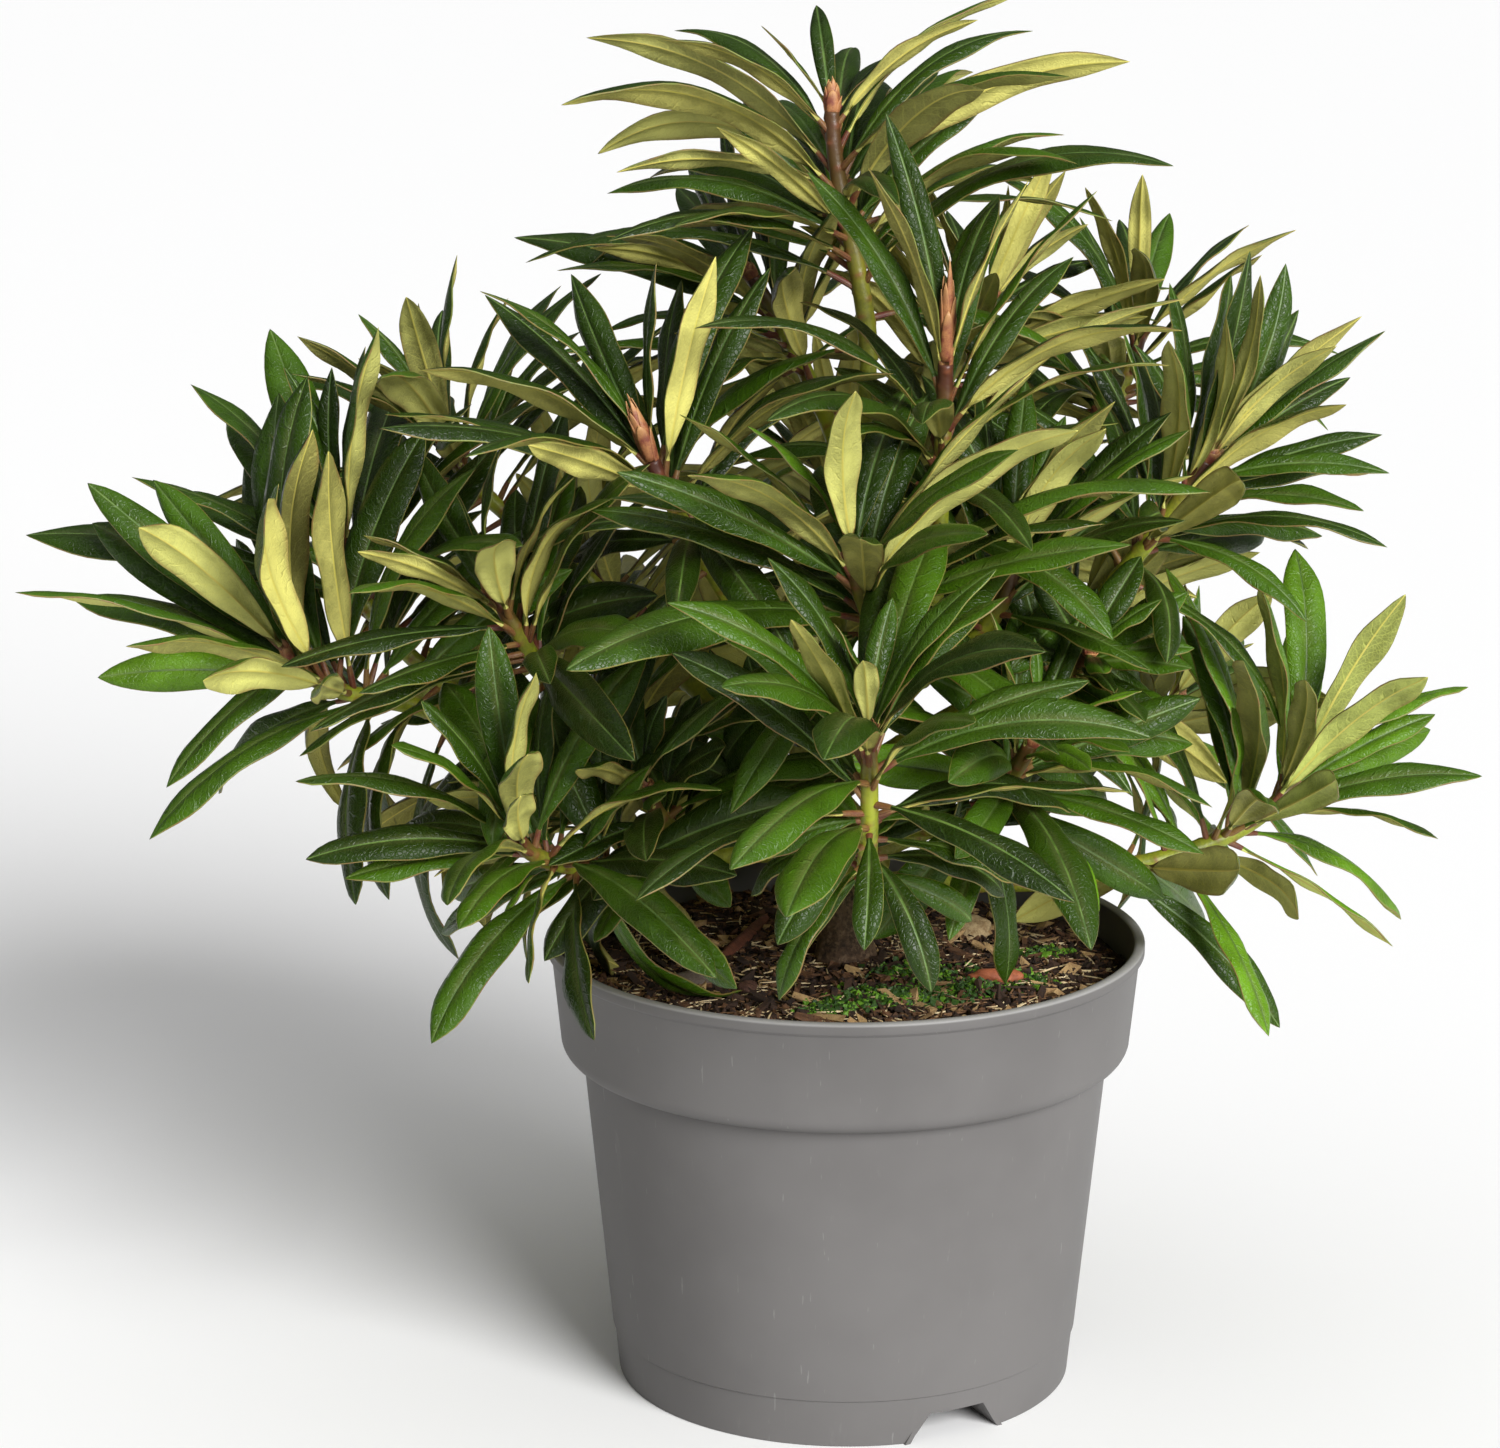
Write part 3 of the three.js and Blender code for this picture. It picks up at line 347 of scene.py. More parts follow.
def newGroup(name, inputs, outputs):
    group = bpy.data.node_groups.new(name, "ShaderNodeTree")
    for key, value in inputs.items():
        socket = group.interface.new_socket(name=key, in_out="INPUT", socket_type="NodeSocketFloat")
        socket.default_value = value
    for key in outputs:
        group.interface.new_socket(name=key, in_out="OUTPUT", socket_type="NodeSocketFloat")
    nodes = Nodes(group)
    return group, nodes, nodes.add("NodeGroupInput").outputs, nodes.add("NodeGroupOutput").inputs


def makeMottle():
    # Cloudy patches plus a finer grain: one value round 0.5 for colour, one height for relief.
    group, n, given, out = newGroup(
        "mottle",
        {"Patch": 60.0, "Grain": 900.0, "Grain share": 0.4},
        ["Value", "Height"])
    where = n.place()
    patch = n.noise(where, given["Patch"], 4.0)
    grain = n.noise(where, given["Grain"], 3.0, 0.6)
    value = n.math("ADD", patch, n.math("MULTIPLY", n.math("SUBTRACT", grain, 0.5), given["Grain share"]))
    n.tree.links.new(value, out["Value"])
    n.tree.links.new(grain, out["Height"])
    return group


def makeVeins():
    # On a leaf's own map, u runs along it and v across: side veins leave the midrib as a herringbone, and a
    # fine net lies between them. The map's v is 0.5 on the midrib.
    group, n, given, out = newGroup(
        "leafVeins",
        {"Veins": 15.0, "Slant": 1.6, "Net": 620.0},
        ["Side veins", "Net", "Edge", "Middle"])
    parts = n.add("ShaderNodeSeparateXYZ", {0: n.place("UV")}).outputs
    across = n.math("ABSOLUTE", n.math("MULTIPLY_ADD", parts[1], 2.0, -1.0))
    where = n.place()
    wobble = n.math("MULTIPLY", n.math("SUBTRACT", n.noise(where, 140.0, 2.0), 0.5), 1.4)
    slanted = n.math("MULTIPLY", n.math("POWER", across, 1.4), given["Slant"])
    row = n.math("ADD", n.math("SUBTRACT", n.math("MULTIPLY", parts[0], given["Veins"]), slanted), wobble)
    saw = n.math("ABSOLUTE", n.math("SUBTRACT", n.math("FRACT", row), 0.5))
    n.tree.links.new(n.range(saw, 0.40, 0.5), out["Side veins"])
    net = {"Vector": where, "Scale": given["Net"]}
    cells = n.add("ShaderNodeTexVoronoi", net, feature="DISTANCE_TO_EDGE")
    n.tree.links.new(n.range(cells.outputs["Distance"], 0.0, 0.16, 1.0, 0.0), out["Net"])
    n.tree.links.new(n.range(across, 0.8, 1.0), out["Edge"])
    n.tree.links.new(n.range(across, 0.0, 0.42, 1.0, 0.0), out["Middle"])
    return group


mottle = makeMottle()
leafVeins = makeVeins()


def newMaterial(name):
    material = bpy.data.materials.new(name)
    material.use_nodes = True
    nodes = Nodes(material.node_tree)
    shader = material.node_tree.nodes["Principled BSDF"]
    return material, nodes, shader


def useGroup(n, group, **values):
    given = {key.replace("_", " "): value for key, value in values.items()}
    return n.add("ShaderNodeGroup", given, node_tree=group).outputs


def wire(n, shader, **sockets):
    for key, value in sockets.items():
        socket = shader.inputs[key.replace("_", " ")]
        if isinstance(value, bpy.types.NodeSocket):
            n.tree.links.new(value, socket)
        else:
            socket.default_value = value


# The leaf's upper side is dark and glossy, its under side dull and pale. Each green is a plain colour given
# to a whole leaf, and the value called tone shifts it a little.
def leafMaterial(name, base, veinColour, patchColour, roughness, shine, netDepth, patchPlace):
    material, n, shader = newMaterial(name)
    pattern = useGroup(n, leafVeins, Veins=15.0)
    cloud = useGroup(n, mottle, Patch=55.0, Grain=1500.0, Grain_share=0.25)
    cloudy = n.range(cloud["Value"], 0.3, 0.7, -0.22, 0.22)
    shade = n.math("ADD", n.math("MULTIPLY", n.attribute("tone"), 0.32), cloudy)
    dark = tuple(c * 0.55 for c in base[:3]) + (1.0,)
    light = tuple(min(c * 1.5, 1) for c in base[:3]) + (1.0,)
    colour = n.blend(n.range(shade, -0.5, 0.5), dark, light)
    colour = n.blend(n.math("MULTIPLY", pattern["Side veins"], 0.3), colour, veinColour)
    colour = n.blend(n.math("MULTIPLY", pattern["Net"], 0.2), colour, veinColour)
    patchy = n.range(n.noise(n.place(), 38.0, 2.0), 0.4, 0.6, 0.1, 0.85)
    colour = n.blend(n.math("MULTIPLY", pattern[patchPlace], patchy), colour, patchColour)
    relief = n.math("ADD", pattern["Side veins"], n.math("MULTIPLY", pattern["Net"], 0.6))
    bump = n.bump(abs(netDepth), 0.0006, relief, netDepth < 0)
    rough = n.range(cloud["Value"], 0.3, 0.7, roughness - 0.06, roughness + 0.06)
    wire(n, shader, Base_Color=colour, Roughness=rough, Normal=bump,
         Specular_IOR_Level=shine, Coat_Weight=0.0)
    return material


def plainMaterial(name, base, other, roughness, patch=120.0, grain=1800.0, depth=0.3,
                  attribute=None, tipColour=None):
    material, n, shader = newMaterial(name)
    cloud = useGroup(n, mottle, Patch=patch, Grain=grain, Grain_share=0.5)
    colour = n.blend(n.range(cloud["Value"], 0.3, 0.7), base, other)
    if attribute:
        colour = n.blend(n.attribute(attribute), colour, tipColour)
    bump = n.bump(depth, 0.0004, cloud["Height"])
    rough = n.range(cloud["Height"], 0.3, 0.7, roughness - 0.08, roughness + 0.08)
    wire(n, shader, Base_Color=colour, Roughness=rough, Normal=bump)
    return material


# Greens from the deepest to the freshest, for the upper side and the under side.
upperGreens = [rgb(32, 52, 3), rgb(48, 76, 6), rgb(80, 118, 18)]
underGreens = [rgb(184, 179, 99), rgb(177, 176, 100), rgb(182, 190, 103)]
upperVein = [rgb(52, 76, 24), rgb(72, 102, 32), rgb(104, 138, 44)]
underVein = [rgb(209, 201, 108), rgb(212, 208, 110), rgb(212, 218, 112)]
dusty = [rgb(74, 84, 44), rgb(88, 98, 50), rgb(100, 124, 52)]
browned = rgb(150, 108, 62)
upperFinish = {"roughness": 0.34, "shine": 0.24, "netDepth": -0.45, "patchPlace": "Middle"}
underFinish = {"roughness": 0.6, "shine": 0.15, "netDepth": 0.26, "patchPlace": "Edge"}
leafMaterials = []
for g, label in enumerate(("Deep", "Middle", "Fresh")):
    upper = leafMaterial("leafUpper" + label, upperGreens[g], upperVein[g], dusty[g], **upperFinish)
    under = leafMaterial("leafUnder" + label, underGreens[g], underVein[g], browned, **underFinish)
    leafMaterials += [upper, under]
leafMaterials.append(plainMaterial("leafMidribUpper", rgb(60, 88, 30), rgb(92, 118, 50), 0.45))
leafMaterials.append(plainMaterial("leafMidribUnder", rgb(204, 196, 92), rgb(214, 200, 104), 0.5))
leafMaterials.append(plainMaterial("leafMargin", rgb(112, 124, 50), rgb(120, 92, 48), 0.5))
leafMaterials.append(plainMaterial("leafStalk", rgb(104, 48, 40), rgb(134, 104, 54), 0.45))
midribUpper, midribUnder, marginSlot, stalkSlot = 6, 7, 8, 9

# The leaf rule: each leaf stands on its stem by the golden turn, opens from the stem, arches over, and is
# moved by seeded chance. The outer ones of a whorl stand lowest and widest.
jitter = {"turn": 14, "open": 9, "arch": 14, "length": 0.12, "sway": 0.1, "roll": 30, "width": 0.14}
innerArch, leastBend, matchGap = 12, 0.05, 0.4
leafSalt = 101  # a leaf's own number is its whorl's seed times this, plus its place in the whorl
olderLeaf = {"gap": 9, "step": 11, "open": 88, "arch": 56, "size": 0.8, "width": 1.25, "index": 60}
leafShape = {"width": 0.205, "petiole": 0.12, "stalk": 1.15}
lowestLeaf = 0.04  # as a share of the shoot's length
# The places a leaf tries: further turn, further opening, share of its length.
fullNudges = [(0, 0), (10, 0), (-10, 0), (0, -9), (0, 9), (10, -9), (-10, 9), (20, 0), (-20, 0), (0, -18),
              (18, 14), (-18, -14), (30, 0), (-30, 0), (24, -16), (-24, 16)]
shortNudges = [(0, 0), (14, 0), (-14, 0), (0, -14), (0, 14)]
nudges = np.array([(*n, 1) for n in fullNudges] + [(*n, 0.76) for n in shortNudges], float)


def leavesOf(older, whorls):
    rows = []
    for below, span, leaves, length, wide, opening, inner, least, arch, seed, backTurn in whorls:
        index = np.arange(leaves)
        high = index / max(leaves - 1, 1)
        rows.append(np.stack([
            index, np.full(leaves, seed), below + span * (1 - high), np.full(leaves, below),
            mix(opening, inner, high**0.8), mix(arch, innerArch, high**1.5), length * mix(1, least, high**2),
            np.full(leaves, wide), high, np.full(leaves, backTurn)], -1))
    i = np.arange(older)
    drop = whorls[-1][0] + whorls[-1][1] + olderLeaf["gap"] + olderLeaf["step"] * i
    one = np.ones(older)
    rows.append(np.stack([
        olderLeaf["index"] + i, whorls[-1][9] * one, drop, drop,
        olderLeaf["open"] * one, olderLeaf["arch"] * one,
        whorls[-1][3] * olderLeaf["size"] * one, olderLeaf["width"] * one, -one, whorls[-1][10] * one], -1))
    return np.concatenate(rows)


def finerRows(mass):
    number = list(shoots).index(mass)
    mainWhorl = shoots[mass][whorlsAt][0]
    mainSpan, length, wide, backTurn = (mainWhorl[k] for k in (1, 3, 4, 10))
    total = curveLengths(lines[mass])[-1]
    rows = []
    for level, look in enumerate(finerWhorls):
        if level == 0 and shoots[mass][budAt] >= finerRule["longBud"]:
            continue
        below = look["below"] + look["down"] * mainSpan
        span = min(look["span"], max(total - finerRule["clear"] - below, finerRule["shortest"]))
        rows.append((below, span, look["leaves"], length * look["length"], wide, look["open"], look["inner"],
                     finerRule["least"], look["arch"], 10 * number + level, backTurn))
    return rows


# Every leaf of a shoot in each of its nudged poses: arrays of shape (leaves, nudges).
def leafPoses(line, table):
    index, leafSeed, drop, axisDrop, opening, arch, length, width, high, backTurn = table.T
    total = curveLengths(line)[-1]
    seed = leafSeed * leafSalt + index
    axis = curveTangent(line, alongCurve(line, np.maximum(lowestLeaf, 1 - axisDrop / total)))[:, None]
    base = curvePoint(line, alongCurve(line, np.maximum(lowestLeaf, 1 - drop / total)))[:, None]
    side = unit(np.array([0, 1, 0]) - axis * axis[..., 1:2])
    across = np.cross(axis, side)
    first = 180 * chance(leafSeed * leafSalt + 77, 9)
    turn = goldenTurn * index + first + jitter["turn"] * chance(seed, 1)
    turn = np.radians(turn[:, None] + nudges[:, 0])[..., None]
    radial = side * np.cos(turn) + across * np.sin(turn)
    tangent = np.cross(axis, radial)
    size = (length * (1 + jitter["length"] * chance(seed, 4)))[:, None] * nudges[:, 2]
    wide = (leafShape["width"] * width * (1 + jitter["width"] * chance(seed, 7)))[:, None]
    bend = np.radians(arch + jitter["arch"] * chance(seed, 3))
    shape = size.shape
    return {
        "base": np.broadcast_to(base, (*shape, 3)),
        "axis": np.broadcast_to(axis, (*shape, 3)),
        "radial": radial,
        "tangent": tangent,
        "open": np.radians((opening + jitter["open"] * chance(seed, 2))[:, None] + nudges[:, 1]),
        "bend": np.broadcast_to(np.maximum(bend, leastBend)[:, None], shape),
        "sway": np.broadcast_to(jitter["sway"] * chance(seed, 5)[:, None], shape),
        "roll": np.radians(jitter["roll"] * chance(seed, 6)[:, None] - backTurn[:, None] * tangent[..., 1]),
        "length": size,
        "half": size * wide / 2,
        "seed": np.broadcast_to(seed[:, None], shape),
        "high": np.broadcast_to(high[:, None], shape),
    }


# The middle of a leaf is an arc of a circle that leans away from the stem, with a slight sideways sway.
def leafMiddle(pose, s):
    opening, bend, length, sway = (pose[key][..., None] for key in ("open", "bend", "length", "sway"))
    base, axis, radial, tangent = (pose[key][..., None, :] for key in ("base", "axis", "radial", "tangent"))
    turned = opening + bend * s
    along = (np.sin(turned) - np.sin(opening)) / bend * length
    out = (np.cos(opening) - np.cos(turned)) / bend * length
    aside = sway * s**2 * length
    return base + axis * along[..., None] + radial * out[..., None] + tangent * aside[..., None]


# The solid of a mass shows which nudge each leaf took: its tip stands on a corner of that solid. A leaf with
# no such corner was left out there, and is left out here.
def grownLeaves(name, pose):
    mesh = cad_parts[name].data
    corners = np.empty(len(mesh.vertices) * 3, np.float32)
    mesh.vertices.foreach_get("co", corners)
    corners = (corners.reshape(-1, 3) - potAxis) * 1000
    tips = leafMiddle(pose, np.array([1.0]))[..., 0, :]
    gap = np.linalg.norm(tips[:, :, None, :] - corners, axis=-1).min(-1)
    found = gap < matchGap
    leaf = np.flatnonzero(found.any(1))
    nudge = found.argmax(1)[leaf]
    return {key: value[leaf, nudge] for key, value in pose.items()}


# Across a leaf: eleven points over the upper side from edge to edge, then nine back along the under side.
# The blade rises a little from the midrib and rolls under at its edges, and the midrib stands out below.
edgeAt, ribAt = 0.93, 0.1
halfColumns = [0, ribAt, 0.36, 0.66, edgeAt, 1]
upperColumns = [-v for v in halfColumns[:0:-1]] + halfColumns
leafColumns = np.array(upperColumns + upperColumns[-2:0:-1])
leafSides = len(leafColumns)
leafIsUnder = np.arange(leafSides) > leafSides // 2
# Each column's kind: 0 the upper side, 1 its midrib, 2 the margin, 3 the under side, 4 its midrib. 5 is the
# stalk.
columnKind = np.array([2, 0, 0, 0, 1, 1, 0, 0, 0, 2, 2, 3, 3, 3, 4, 4, 3, 3, 3, 2])
stalkKind, stalkRings = 5, 3
leafSteps = np.concatenate([[0, 0.045, 0.085, 0.115], 0.12 + 0.88 * np.linspace(0.03, 0.985, 19)])
leafLook = {
    "tall": (230, 420), "wide": (0.92, 0.66), "tipFall": (4.2, 2.2), "baseRise": 0.62, "tipRound": 0.9,
    "fold": 0.34, "curl": 0.5, "thick": 0.45, "edgeThick": 1.3, "margin": 0.13, "groove": 0.3,
    "edgeRound": 0.25, "rib": 0.6, "ribShare": 0.25, "ripple": 1.0, "waves": 2.6, "arch": 0.055,
}


def leafGrid(pose):
    s = leafSteps
    seed = pose["seed"]
    p = leafShape["petiole"]
    a = np.clip((s - p) / (1 - p), 0, 1)
    tall = ease(*leafLook["tall"], pose["base"][:, 2:])
    outline = a ** leafLook["baseRise"] * (1 - a ** mix(*leafLook["tipFall"], tall)) ** leafLook["tipRound"]
    outline = outline / outline.max(1, keepdims=True)
    half = pose["half"][:, None] * mix(*leafLook["wide"], tall) * outline
    turned = pose["open"][:, None] + pose["bend"][:, None] * s
    axis, radial = pose["axis"][:, None], pose["radial"][:, None]
    face = axis * np.sin(turned)[..., None] - radial * np.cos(turned)[..., None]
    roll = (pose["roll"][:, None] * (1 + 0 * s))[..., None]
    tangent = pose["tangent"][:, None]
    across = tangent * np.cos(roll) + face * np.sin(roll)
    upward = face * np.cos(roll) - tangent * np.sin(roll)
    bow = leafLook["arch"] * (1 + 0.6 * chance(seed, 15)) * pose["length"]
    middle = leafMiddle(pose, s) + upward * (bow[:, None] * 4 * s**1.2 * (1 - s))[..., None]
    v = leafColumns
    size = np.abs(v)
    h = half[..., None]
    rib = np.minimum(leafLook["rib"] * (1 - 0.55 * s)[None, :, None], leafLook["ribShare"] * h)
    edge = np.maximum(h - leafLook["margin"], 0.85 * h)
    x = np.where(size == ribAt, rib, np.where(size == edgeAt, edge, size * h)) * np.sign(v)
    fold = leafLook["fold"] * (1 + 0.4 * chance(seed, 11))[:, None, None]
    curl = leafLook["curl"] * (1 + 0.35 * chance(seed, 12))[:, None, None]
    share = np.abs(x) / np.maximum(h, 1e-6)
    wave = 2 * np.pi * (leafLook["waves"] * s[None, :] + chance(seed, 13)[:, None])
    swing = np.sin(wave + 1.3 * chance(seed, 14)[:, None])[..., None]
    ripple = leafLook["ripple"] * swing * share**2 * np.sign(x)
    z = h * (fold * share - curl * share**3) + ripple * np.minimum(h / 6, 1)
    blade = np.minimum(h / 3, 1)
    ribDepth = leafLook["rib"] * (1 - 0.6 * s)[None, :, None]
    under = leafIsUnder
    thick = leafLook["thick"] * np.where(size == edgeAt, leafLook["edgeThick"], 1.0)
    z = z - np.where(under, thick, 0) * blade
    z = z - np.where(under & (size == 0), ribDepth, 0)
    z = z - np.where(under & (size == ribAt), leafLook["ribShare"] * ribDepth, 0)
    z = z - np.where(~under & (size == 0), leafLook["groove"], 0) * blade
    z = z - np.where(size == 1, leafLook["edgeRound"], 0) * blade
    turn = np.pi * np.where(under, 1 + (1 - v) / 2, (1 - v) / 2)
    turn = np.where(v == -1, np.pi, turn)
    stalk = leafShape["stalk"] * (1 + 0.35 * (1 - s / p).clip(0))[None, :, None]
    xStalk, zStalk = stalk * np.cos(turn), stalk * 0.9 * np.sin(turn)
    toBlade = ease(p - 0.03, p + 0.09, s)[None, :, None]
    x = mix(xStalk, x, toBlade)
    z = mix(zStalk, z, toBlade)
    points = middle[..., None, :] + across[..., None, :] * x[..., None] + upward[..., None, :] * z[..., None]
    count, rings, sides = points.shape[:3]
    tips = leafMiddle(pose, np.array([1.0]))
    points = np.concatenate([points.reshape(count, -1, 3), tips, middle[:, :1]], 1)
    quads = repeatFaces(ringQuads(rings, sides), count, points.shape[1])
    tip = rings * sides
    ends = np.concatenate([fan(tip, tip - sides, sides), fan(tip + 1, 0, sides, False)])
    ends = repeatFaces(ends, count, points.shape[1])
    uvOne = np.stack(np.meshgrid(s, (v + 1) / 2, indexing="ij"), -1).reshape(-1, 2)
    uvOne = np.concatenate([uvOne, [[1, 0.5], [0, 0.5]]])
    uv = np.broadcast_to(uvOne, (count, *uvOne.shape)).reshape(-1, 2)
    return points, quads, ends, uv


# Which of the ten leaf materials each face takes: stalk, margin and midribs by their column, blades by the
# leaf's grade of green.
def leafFaceSlots(grade, rings):
    kinds = np.broadcast_to(columnKind, (rings - 1, leafSides)).copy()
    kinds[:stalkRings] = stalkKind
    kinds = np.concatenate([kinds.ravel(), columnKind, np.full(leafSides, stalkKind)])
    lookup = np.stack([[2 * g, midribUpper, marginSlot, 2 * g + 1, midribUnder, stalkSlot] for g in range(3)])
    return lookup[grade][:, kinds]


# A leaf past its stalk as a coarse tube, open at both ends, to test what it crosses.
def bladeStrips(pose):
    points = leafGrid(pose)[0]
    grid = points[:, :len(leafSteps) * leafSides].reshape(len(points), len(leafSteps), leafSides, 3)
    tested = grid[:, finerRule["fromRing"]:, finerRule["columns"]]
    return tested.reshape(len(points), -1, 3) / 1000 + potAxis


stripFaces = ringQuads(len(leafSteps) - finerRule["fromRing"], len(finerRule["columns"])).tolist()


# A finer leaf takes the first of its nudged places where its coarse tube is clear of limbs, pot, peat and the
# tubes of the leaves that stand already, and stays inside the box of its own mass. It is left out where none
# is. The stalks aren't tested, and a blade may still touch something that its coarse tube misses.
def growFiner(mainPoses):
    depsgraph = bpy.context.evaluated_depsgraph_get()
    standing = [BVHTree.FromObject(bpy.data.objects[name], depsgraph)
                for name in ("trunkBark", "boughBark", "shootStems", "buds", "potShell", "peat")]
    for pose in mainPoses.values():
        for strip in bladeStrips(pose):
            standing.append(BVHTree.FromPolygons(strip.tolist(), stripFaces))
    grown = {}
    for mass in shoots:
        boxLow, boxHigh = (np.array(corner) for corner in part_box(mass))
        every = leafPoses(lines[mass], leavesOf(0, finerRows(mass)))
        leaves, places = every["length"].shape
        flat = {key: value.reshape(leaves * places, *value.shape[2:]) for key, value in every.items()}
        strips = bladeStrips(flat).reshape(leaves, places, -1, 3)
        taken = []
        for leaf in range(leaves):
            for nudge in range(places):
                strip = strips[leaf, nudge]
                if (strip < boxLow).any() or (strip > boxHigh).any():
                    continue
                tree = BVHTree.FromPolygons(strip.tolist(), stripFaces)
                if not any(tree.overlap(other) for other in standing):
                    standing.append(tree)
                    taken.append((leaf, nudge))
                    break
        leafAt, nudgeAt = np.array(taken, int).reshape(-1, 2).T
        grown[mass] = {key: value[leafAt, nudgeAt] for key, value in every.items()}
    return grown


def growMain(mass):
    table = leavesOf(shoots[mass][olderAt], shoots[mass][whorlsAt])
    return grownLeaves(mass, leafPoses(lines[mass], table))


gradeSteps = [0.34, 0.72]  # where a leaf's green turns from deep to middle and from middle to fresh


def makeLeaves(name, masses):
    poses = []
    for mass in masses:
        pose = {key: np.concatenate([value, finerPoses[mass][key]]) for key, value in mainPoses[mass].items()}
        poses.append(pose | {"fresh": np.full(len(pose["seed"]), shoots[mass][freshAt])})
    pose = {key: np.concatenate([p[key] for p in poses]) for key in poses[0]}
    fresh = pose["fresh"]
    points, quads, ends, uv = leafGrid(pose)
    young = np.clip(pose["high"], 0, 1)
    tone = fresh + 0.3 * chance(pose["seed"], 21) + 0.15 * young
    grade = np.digitize(tone, gradeSteps)
    slots = leafFaceSlots(grade, len(leafSteps))
    sideFaces = quads.shape[1]
    faceMaterial = np.concatenate([slots[:, :sideFaces].ravel(), slots[:, sideFaces:].ravel()])
    values = {"tone": np.repeat(chance(pose["seed"], 22), points.shape[1])}
    piece = makePiece(name, points.reshape(-1, 3), [quads.reshape(-1, 4), ends.reshape(-1, 3)], leafMaterials,
                      faceMaterial, uv, values)
    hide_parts(*masses)
    print(name, len(pose["seed"]), "leaves")


leafGroups = {
    "leavesTop": ["leaves_top", "leaves_back_top", "leaves_back_right_top", "leaves_front_right_high"],
    "leavesLeft": ["leaves_far_left", "leaves_left_high", "leaves_left_middle", "leaves_left_low",
                   "leaves_left_front_low", "leaves_front_left_high"],
    "leavesFront": ["leaves_front_middle", "leaves_front_low", "leaves_front_right_middle",
                    "leaves_front_right_low", "leaves_middle", "leaves_middle_left", "leaves_middle_right"],
    "leavesRight": ["leaves_right_high", "leaves_right_low", "leaves_right_middle", "leaves_back_right_high",
                    "leaves_back_right_low", "leaves_back_right_middle"],
    "leavesBack": ["leaves_back_left_high", "leaves_back_left_middle", "leaves_back_middle",
                   "leaves_back_low", "leaves_back_left_low"],
}


# A limb is a profile carried along its line: rings of points round it, its radius at each, and a relief that
# is added to the radius as a function of the turn and the place along it.
def sweep(line, shares, radii, sides, relief):
    t = alongCurve(line, shares)
    centre = curvePoint(line, t)
    way = curveTangent(line, t)
    bow = np.cross(line[1] - line[0], line[3] - line[2])
    straight = np.linalg.norm(bow) <= 1e-3 * np.linalg.norm(line[1] - line[0]) ** 2
    guide = np.cross(way[0], [0.3, 1, 0.2]) if straight else bow
    side = unit(guide - way * dot(way, guide))
    over = np.cross(way, side)
    turn = 2 * np.pi * np.arange(sides) / sides
    radius = radii[:, None] + relief
    around = side[:, None] * np.cos(turn)[:, None] + over[:, None] * np.sin(turn)[:, None]
    points = centre[:, None] + radius[..., None] * around
    points = np.concatenate([points.reshape(-1, 3), centre[:1], centre[-1:]])
    return points, ringQuads(len(shares), sides), tubeEnds(len(shares), sides)


def barkRelief(shares, sides, length, seed, depth):
    # long cracks that wander round the limb, cut by finer cross cracks, plus lumps
    turn = 2 * np.pi * np.arange(sides)[None] / sides
    along = (shares * length)[:, None]
    lump = 0
    for k in range(1, 5):
        lump = lump + np.sin(k * turn + along * 0.11 * k + 6 * chance(seed, 30 + k)) / k
    crack = 0
    for k in (5, 7, 9, 12):
        wander = 1.2 * np.sin(along * 0.09 + k + 6 * chance(seed, 40 + k))
        crack = crack + np.abs(np.sin(0.5 * (k * turn + wander + along * 0.05 * chance(seed, 50 + k))))
    cross = np.abs(np.sin(along * 0.55 + 1.5 * np.sin(3 * turn + along * 0.07)))
    return depth * (0.35 * lump + 0.55 * (crack - 2.4) + 0.25 * cross)


def scarRelief(shares, sides, length, spots, depth, wide=1.1):
    # a low lump where each leaf stood: a bell curve in place and turn, also given as the scar's colour share
    turn = 2 * np.pi * np.arange(sides)[None] / sides
    along = (shares * length)[:, None]
    lump = np.zeros((len(shares), sides))
    for where, angle in spots:
        apart = np.angle(np.exp(1j * (turn - angle)))
        lump = lump + np.exp(-((along - where) / wide) ** 2 - (apart / 0.55) ** 2)
    return depth * np.minimum(lump, 1.2), np.minimum(lump, 1)


# Finishes of the wood: grey-brown bark on the trunk, olive young wood, and bright green shoots that blush
# red-brown under the buds.
woodColours = {
    "old": rgb(88, 66, 50), "oldDark": rgb(46, 32, 24), "oldSpeck": rgb(128, 104, 82),
    "young": rgb(150, 158, 38), "youngDark": rgb(118, 128, 34), "youngSpeck": rgb(176, 176, 82),
    "blush": rgb(74, 28, 26), "scar": rgb(128, 72, 44),
}


def woodMaterial(name, roughness, depth):
    material, n, shader = newMaterial(name)
    age, blush, scar = (n.attribute(key) for key in ("age", "blush", "scar"))
    cloud = useGroup(n, mottle, Patch=90.0, Grain=700.0, Grain_share=0.8)
    speck = n.range(n.noise(n.place(), 420.0, 4.0, 0.7), 0.45, 0.7)
    colour = n.blend(age, woodColours["young"], woodColours["old"])
    dark = n.blend(age, woodColours["youngDark"], woodColours["oldDark"])
    colour = n.blend(n.range(cloud["Value"], 0.35, 0.75), colour, dark)
    pale = n.blend(age, woodColours["youngSpeck"], woodColours["oldSpeck"])
    colour = n.blend(n.math("MULTIPLY", speck, n.range(age, 0, 1, 0.08, 0.85)), colour, pale)
    colour = n.blend(blush, colour, woodColours["blush"])
    colour = n.blend(n.math("MULTIPLY", scar, 0.85), colour, woodColours["scar"])
    bump = n.bump(depth, 0.0006, cloud["Height"])
    wire(n, shader, Base_Color=colour, Roughness=n.range(age, 0, 1, roughness, 0.85), Normal=bump)
    return material


barkMaterial = woodMaterial("bark", 0.5, 0.7)
shootMaterial = woodMaterial("shootGreen", 0.42, 0.25)


